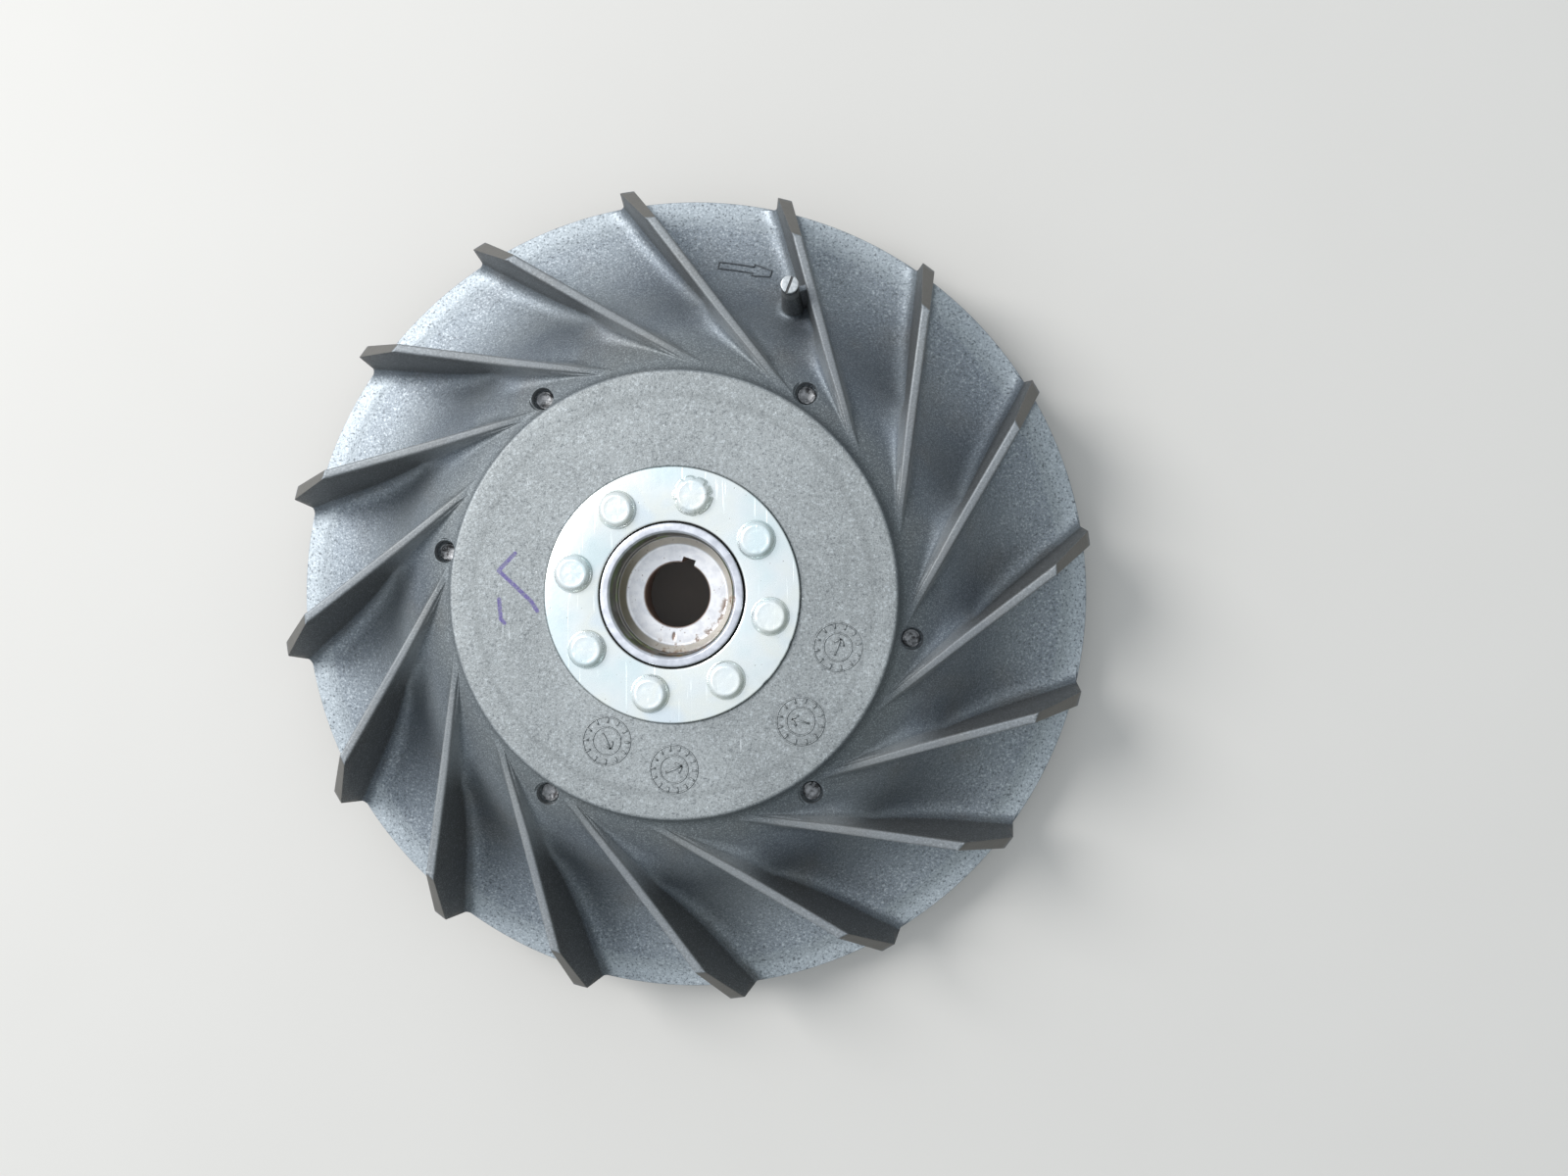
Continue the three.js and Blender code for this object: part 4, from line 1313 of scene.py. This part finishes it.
def yokeMesh():
    corner = yoke["corner"]
    outline = [(yokeInner + 0.4, yokeBottom), (yokeRadius - 0.5, yokeBottom),
               (yokeRadius - 0.1, yokeBottom + 0.15), (yokeRadius, yokeBottom + 0.6)]
    outline += arcPoints(yokeRadius - corner, yokeTop - corner, corner, 0, 90, 10)
    flangeEdge = yokeRadius - yoke["flangeWidth"]
    outline += [(flangeEdge + 0.5, yokeTop), (flangeEdge, yokeTop - 0.5),
                (flangeEdge, flangeUnder + 0.3), (flangeEdge + 0.3, flangeUnder)]
    inner = yoke["innerCorner"]
    outline += arcPoints(yokeInner - inner, flangeUnder - inner, inner, 90, 0, 5)
    outline += [(yokeInner, yokeBottom + 0.4)]
    return turnedMesh("yokeRing", outline, yoke["sides"])


def drawnSteel():
    f = Finish("drawnSteel")
    streak = f.noise(1.1, 3.0, 0.6, f.stretched((1, 1, 0.06)))
    cloud = f.noise(9.0, 3.0, 0.55)
    darkPatch = f.noise(3.2, 4.0, 0.65).ramp(0.56, 0.72)
    base = f.mix(cloud.ramp(0.35, 0.65), (0.30, 0.315, 0.32), (0.43, 0.435, 0.43))
    base = f.mix(streak.ramp(0.5, 0.75) * 0.4, base, (0.52, 0.53, 0.53))
    base = f.mix(darkPatch * 0.5, base, (0.20, 0.13, 0.085))
    roughness = 0.36 + cloud * 0.14 + darkPatch * 0.2
    normal = f.bump(streak + darkPatch * 0.3, 0.05, 0.5)
    return f.wear(base, roughness, 0.9 - darkPatch * 0.4, normal)


yokeObject = drilled(looseObject(yokeMesh()), ringRivetNames, yoke["rivetHole"], flangeUnder - 1,
                     yokeTop + 1)
smoothMesh(yokeObject.data, 34)
yokeRing = finishObject("yokeRing", yokeObject.data, drawnSteel())
bpy.data.objects.remove(yokeObject)
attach(yokeRing, "root")
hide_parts("yoke_ring")


# Six ferrite blocks bonded into the ring.
magnet = {
    "count": 6,
    "thickness": 7.65,
    "span": 52.0,                 # degrees
    "firstAngle": 57.0,
    "glueGap": 0.13,
    "topGap": 2.3,                # below the ring's flange
    "bottomInset": 1.5,
    "bevel": 0.6,
    "steps": 26,
    "chips": 0.12,
    "chipSize": 2.2,
}


# One block, set out from its own middle, with the radius that it is placed at.
def magnetMesh():
    bottom, top = yokeBottom + magnet["bottomInset"], flangeUnder - magnet["topGap"]
    outer = yokeInner * math.cos(math.pi / 48) - magnet["glueGap"]
    inner = outer - magnet["thickness"]
    middleR = (outer + inner) / 2
    b = magnet["bevel"]
    corners = [(inner, bottom, b), (outer, bottom, b), (outer, top, b), (inner, top, b)]
    section = rounded(corners, steps=3)
    half = rad(magnet["span"] / 2)
    rows = []
    stations = [(-1.0, b), (-0.994, b * 0.3), (-0.985, 0.0)]
    stations += [(-0.985 + 1.97 * i / magnet["steps"], 0.0) for i in range(1, magnet["steps"])]
    stations += [(0.985, 0.0), (0.994, b * 0.3), (1.0, b)]
    for share, inset in stations:
        a = half * share
        row = []
        for r, z in section:
            r2 = middleR + (r - middleR) * (1 - inset / (magnet["thickness"] / 2))
            z2 = (bottom + top) / 2 + (z - (bottom + top) / 2) * (1 - inset / ((top - bottom) / 2))
            row.append((r2 * math.cos(a) - middleR, r2 * math.sin(a), z2))
        rows.append(row)
    mesh = cappedGrid("magnetShape", rows)
    pointOut(mesh)
    return mesh, middleR


def ferriteBlock():
    f = Finish("ferrite")
    grain = f.noise(0.5, 3.0, 0.6)
    chips = f.noise(2.6, 4.0, 0.65)
    dust = f.noise(7.0, 3.0, 0.5).ramp(0.5, 0.75)
    base = f.mix(grain.ramp(0.35, 0.7), (0.022, 0.022, 0.025), (0.045, 0.045, 0.048))
    base = f.mix(dust * 0.35, base, (0.16, 0.14, 0.12))
    roughness = 0.62 + chips * 0.2
    return f.wear(base, roughness, 0.0, f.bump(grain + chips * 1.4, 0.08, 0.6))


magnetShapeMesh, magnetRadius = magnetMesh()
magnetShape = looseObject(magnetShapeMesh)
magnetPlaces = []
for i in range(magnet["count"]):
    a = rad(magnet["firstAngle"] + 360 / magnet["count"] * i)
    magnetPlaces.append((magnetRadius * math.cos(a), magnetRadius * math.sin(a), 0))
magnetsMesh = grow("magnets", pointCloud("magnetPlaces", magnetPlaces), setOut,
                   {"Shape": magnetShape, "Seed": 3})
bpy.data.objects.remove(magnetShape)
dent(magnetsMesh, magnet["chips"], magnet["chipSize"], 7.0)
smoothMesh(magnetsMesh, 40)
magnets = finishObject("magnets", magnetsMesh, ferriteBlock())
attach(magnets, "root")
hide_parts(*(f"magnet_{i}" for i in range(1, 7)))
print("magnet ring finished")


# Ring rivets: domed heads inside the ring, upset ends sunk in the front of the casting.
ringRivet = {
    "shank": 1.6,
    "tail": 2.1,
    "tailHeight": 0.75,
    "sunk": 1.3,                  # below the tops of the nodes
    "head": 2.7,
    "headHeight": 1.7,
    "cup": 0.5,                   # hollow of the upset end
    "sides": 40,
    "dents": 0.35,
    "dentSize": 1.0,
}


def ringRivetMesh():
    top = nodeBox("ring_rivet_1")[1][2] - ringRivet["sunk"]
    tail, head, under = ringRivet["tail"], ringRivet["head"], ringRivet["tailHeight"]
    outline = [(0, flangeUnder - ringRivet["headHeight"])]
    outline += [(head * math.sin(rad(t)), flangeUnder - ringRivet["headHeight"] * math.cos(rad(t)))
                for t in (15, 30, 45, 60, 75, 90)]
    outline += [(ringRivet["shank"], flangeUnder), (ringRivet["shank"], top - under),
                (tail, top - under), (tail, top - 0.3), (tail - 0.15, top - 0.05),
                (tail - 0.4, top)]
    outline += [(tail * s, top - ringRivet["cup"] * (1 - s * s)) for s in (0.7, 0.5, 0.3, 0.12)]
    outline += [(0, top - ringRivet["cup"])]
    return turnedMesh("ringRivetShape", outline, ringRivet["sides"], onAxis=True)


def dullSteel():
    f = Finish("dullSteel")
    grain = f.noise(0.5, 3.0, 0.65)
    blotch = f.noise(1.6, 4.0, 0.65)
    base = f.mix(blotch.ramp(0.35, 0.65), (0.18, 0.185, 0.19), (0.46, 0.46, 0.47))
    base = f.mix(grain.ramp(0.58, 0.72), base, (0.58, 0.59, 0.59))
    base = f.mix(blotch.ramp(0.46, 0.36) * 0.85, base, (0.035, 0.03, 0.03))
    roughness = 0.45 + grain * 0.2
    return f.wear(base, roughness, 0.75, f.bump(blotch + grain * 0.5, 0.12, 0.7))


ringShape = looseObject(ringRivetMesh())
ringMesh = grow("ringRivets", nodePlaces(ringRivetNames), setOut,
                {"Shape": ringShape, "Turn Spread": 6.0, "Size Spread": 0.0, "Seed": 5})
bpy.data.objects.remove(ringShape)
dent(ringMesh, ringRivet["dents"], ringRivet["dentSize"], 3.0, yokeTop + 0.5)
smoothMesh(ringMesh, 40)
ringRivets = finishObject("ringRivets", ringMesh, dullSteel())
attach(ringRivets, "root")
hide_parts(*ringRivetNames)


# Slotted peg in the cast post.
peg = {
    "head": 2.0,
    "shank": 1.3,
    "edge": 0.3,
    "slotWidth": 0.6,
    "slotDepth": 0.8,
    "slotAngle": 69.0,
}


def pegMesh():
    top, bottom = pegHigh[2], pegLow[2]
    under = post["top"] + 0.12
    head, shank = peg["head"], peg["shank"]
    outline = rounded([(0, bottom, 0), (shank, bottom, 0.2), (shank, under, 0.1),
                       (head - 0.1, under, 0.1), (head, under + 0.3, 0.2), (head, top, peg["edge"]),
                       (0, top, 0)], closed=False)
    return turnedMesh("slottedPeg", outline, 56, (pegX, pegY), onAxis=True)


def slotCutter():
    a = rad(peg["slotAngle"])
    along = Vector((math.cos(a), math.sin(a), 0)) * (peg["head"] + 1)
    side = Vector((-along.y, along.x, 0)).normalized() * peg["slotWidth"] / 2
    centre = Vector((pegX, pegY, 0))
    low, high = pegHigh[2] - peg["slotDepth"], pegHigh[2] + 1
    points = []
    for z in (low, high):
        for s, t in ((-1, -1), (1, -1), (1, 1), (-1, 1)):
            q = centre + along * s + side * t
            points.append((q.x, q.y, z))
    return blockMesh("slotCutter", points)


def brightSteel():
    f = Finish("brightSteel")
    grain = f.noise(0.6, 3.0, 0.6)
    swirl = f.noise(0.35, 2.0, 0.5, f.stretched((1, 0.08, 1), 35))
    base = f.mix(grain.ramp(0.35, 0.7), (0.48, 0.50, 0.51), (0.66, 0.68, 0.69))
    base = f.mix(grain.ramp(0.66, 0.74) * 0.6, base, (0.22, 0.20, 0.18))
    height = f.parts(f.place)[2] / mm
    # Painted shade in the slot and down the side of the head, below its top.
    below = 1 - height.ramp(pegHigh[2] - 0.5, pegHigh[2] - 0.3)
    base = f.mix(below * 0.85, base, (0.09, 0.085, 0.08))
    roughness = 0.30 + grain * 0.15
    return f.wear(base, roughness, 0.85, f.bump(swirl, 0.02, 0.6))


pegObject = applyBoolean(looseObject(pegMesh()), looseObject(slotCutter()), "DIFFERENCE")
smoothMesh(pegObject.data, 34)
slottedPeg = finishObject("slottedPeg", pegObject.data, brightSteel())
bpy.data.objects.remove(pegObject)
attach(slottedPeg, "root")
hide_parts("slotted_peg")
print("ring rivets and peg finished")


# Raised marks of the casting mould: four plain dials on the dome, an outline arrow on the disc.
marks = {
    "dials": ((36.7, -11.5, 1.2, 12), (28.5, -27.9, 2.9, 12), (0.4, -38.7, 0.4, 14),
              (-14.6, -32.5, -1.1, 12)),    # x, y, turn, ticks
    "dialRadius": 5.3,
    "dialInner": 3.1,
    "tickLength": 1.25,
    "lineWidth": 0.38,
    "lineHeight": 0.2,
    "arrowRadius": 80.9,
    "arrowAngle": 80.0,
    "arrowLength": 13.0,
    "arrowHead": 4.4,
    "arrowWide": 3.2,
    "arrowNarrow": 1.8,
    "arrowLine": 0.45,
    "arrowHeight": 0.34,
}


def arrowLoop():
    half = marks["arrowLength"] / 2
    neck = half - marks["arrowHead"]
    wide, narrow = marks["arrowWide"] / 2, marks["arrowNarrow"] / 2
    corners = [(-half, -narrow), (neck, -narrow), (neck, -wide), (half, -wide * 0.55),
               (half, wide * 0.55), (neck, wide), (neck, narrow), (-half, narrow)]
    points = []
    for (x0, y0), (x1, y1) in zip(corners, corners[1:] + corners[:1]):
        steps = max(1, int(math.hypot(x1 - x0, y1 - y0) / 0.8))
        for s in range(steps):
            along = x0 + (x1 - x0) * s / steps
            r = marks["arrowRadius"] + y0 + (y1 - y0) * s / steps
            a = rad(marks["arrowAngle"]) - along / marks["arrowRadius"]
            points.append((r * math.cos(a), r * math.sin(a), surfaceZ(r)))
    mesh = bpy.data.meshes.new("arrowLoop")
    count = len(points)
    mesh.from_pydata([tuple(v * mm for v in p) for p in points],
                     [(i, (i + 1) % count) for i in range(count)], [])
    return mesh


castLines = castAluminium("castLines", True)
for i, (x, y, turnBy, ticks) in enumerate(marks["dials"], 1):
    dialMesh = grow(f"mouldDial{i}", pointCloud("dialPlace", [(x, y, domeTop)]), dial, {
        "Outer Radius": marks["dialRadius"] * mm, "Inner Radius": marks["dialInner"] * mm,
        "Tick Length": marks["tickLength"] * mm, "Ticks": ticks, "Turn": turnBy,
        "Line Width": marks["lineWidth"] * mm, "Line Height": marks["lineHeight"] * mm})
    dialMesh.shade_smooth()
    mouldDial = finishObject(f"mouldDial{i}", dialMesh, castLines)
    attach(mouldDial, "root")
arrowMesh = grow("castArrow", arrowLoop(), beadAlong, {
    "Line Width": marks["arrowLine"] * mm, "Line Height": marks["arrowHeight"] * mm})
arrowMesh.shade_smooth()
castArrow = finishObject("castArrow", arrowMesh, castLines)
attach(castArrow, "root")
print("mould marks finished")


# Floor, light, surroundings and camera.
stage = {
    "size": 1.6,                  # metres, as the light's place and size
    "colour": (0.62, 0.60, 0.57),
    "lightSide": (0.88, 0.94, 1.0),
    "dimSide": (0.165, 0.20, 0.185),
    "worldStrength": 0.95,
    "keyPlace": (-0.75, 0.4, 0.85),
    "keyAim": (0, 0, 0.02),
    "keySize": 0.6,
    "keyPower": 11.5,
    "cameraPlace": (36.3, 1.75, 305.5),    # millimetres, as the lens and sensor
    "cameraTurn": (-0.0009, 0.044, 0),
    "lens": 27.05,
    "sensor": 36,
}


def floorMesh():
    half = stage["size"] / 2 / mm
    return meshFrom("floor", [(-half, -half, 0), (half, -half, 0), (half, half, 0), (-half, half, 0)],
                    [(0, 1, 2, 3)])


def paleFloor():
    f = Finish("paleFloor")
    tone = f.noise(60.0, 3.0)
    return f.wear(f.mix(tone, (0.60, 0.58, 0.55), stage["colour"]), 0.85)


floor = finishObject("floor", floorMesh(), paleFloor())
floor.location.z = cadLow.z - 0.0002


def keyLight():
    data = bpy.data.lights.new("keyLight", "AREA")
    data.shape = "DISK"
    data.size = stage["keySize"]
    data.energy = stage["keyPower"]
    made = bpy.data.objects.new("keyLight", data)
    made.location = stage["keyPlace"]
    ray = Vector(stage["keyAim"]) - Vector(stage["keyPlace"])
    made.rotation_euler = ray.to_track_quat("-Z", "Y").to_euler()
    bpy.context.collection.objects.link(made)


keyLight()


# Studio surroundings: light overhead and to the left, dimmer low down on the right.
def studioWorld():
    world = bpy.data.worlds.new("studio")
    world.use_nodes = True
    sky = Nodes(world.node_tree)
    direction = sky.node("ShaderNodeTexCoord", {}, {}, "Generated")
    x, y, z = sky.parts(direction)
    level = (z * 0.75 - x * 0.45 + y * 0.26).ramp(-0.5, 0.75)
    tone = sky.node("ShaderNodeMix", {"data_type": "RGBA"}, {
        0: level, 6: stage["dimSide"], 7: stage["lightSide"]}, 2)
    background = sky.nodes["Background"]
    sky.join(background.inputs["Color"], tone)
    background.inputs["Strength"].default_value = stage["worldStrength"]
    return world


bpy.context.scene.world = studioWorld()
bpy.context.scene.view_settings.view_transform = "Standard"

cameraData = bpy.data.cameras.new("camera")
cameraData.lens = stage["lens"]
cameraData.sensor_width = stage["sensor"]
cameraData.clip_start = 0.005
camera = bpy.data.objects.new("camera", cameraData)
camera.location = [v * mm for v in stage["cameraPlace"]]
camera.rotation_euler = stage["cameraTurn"]
bpy.context.collection.objects.link(camera)
bpy.context.scene.camera = camera
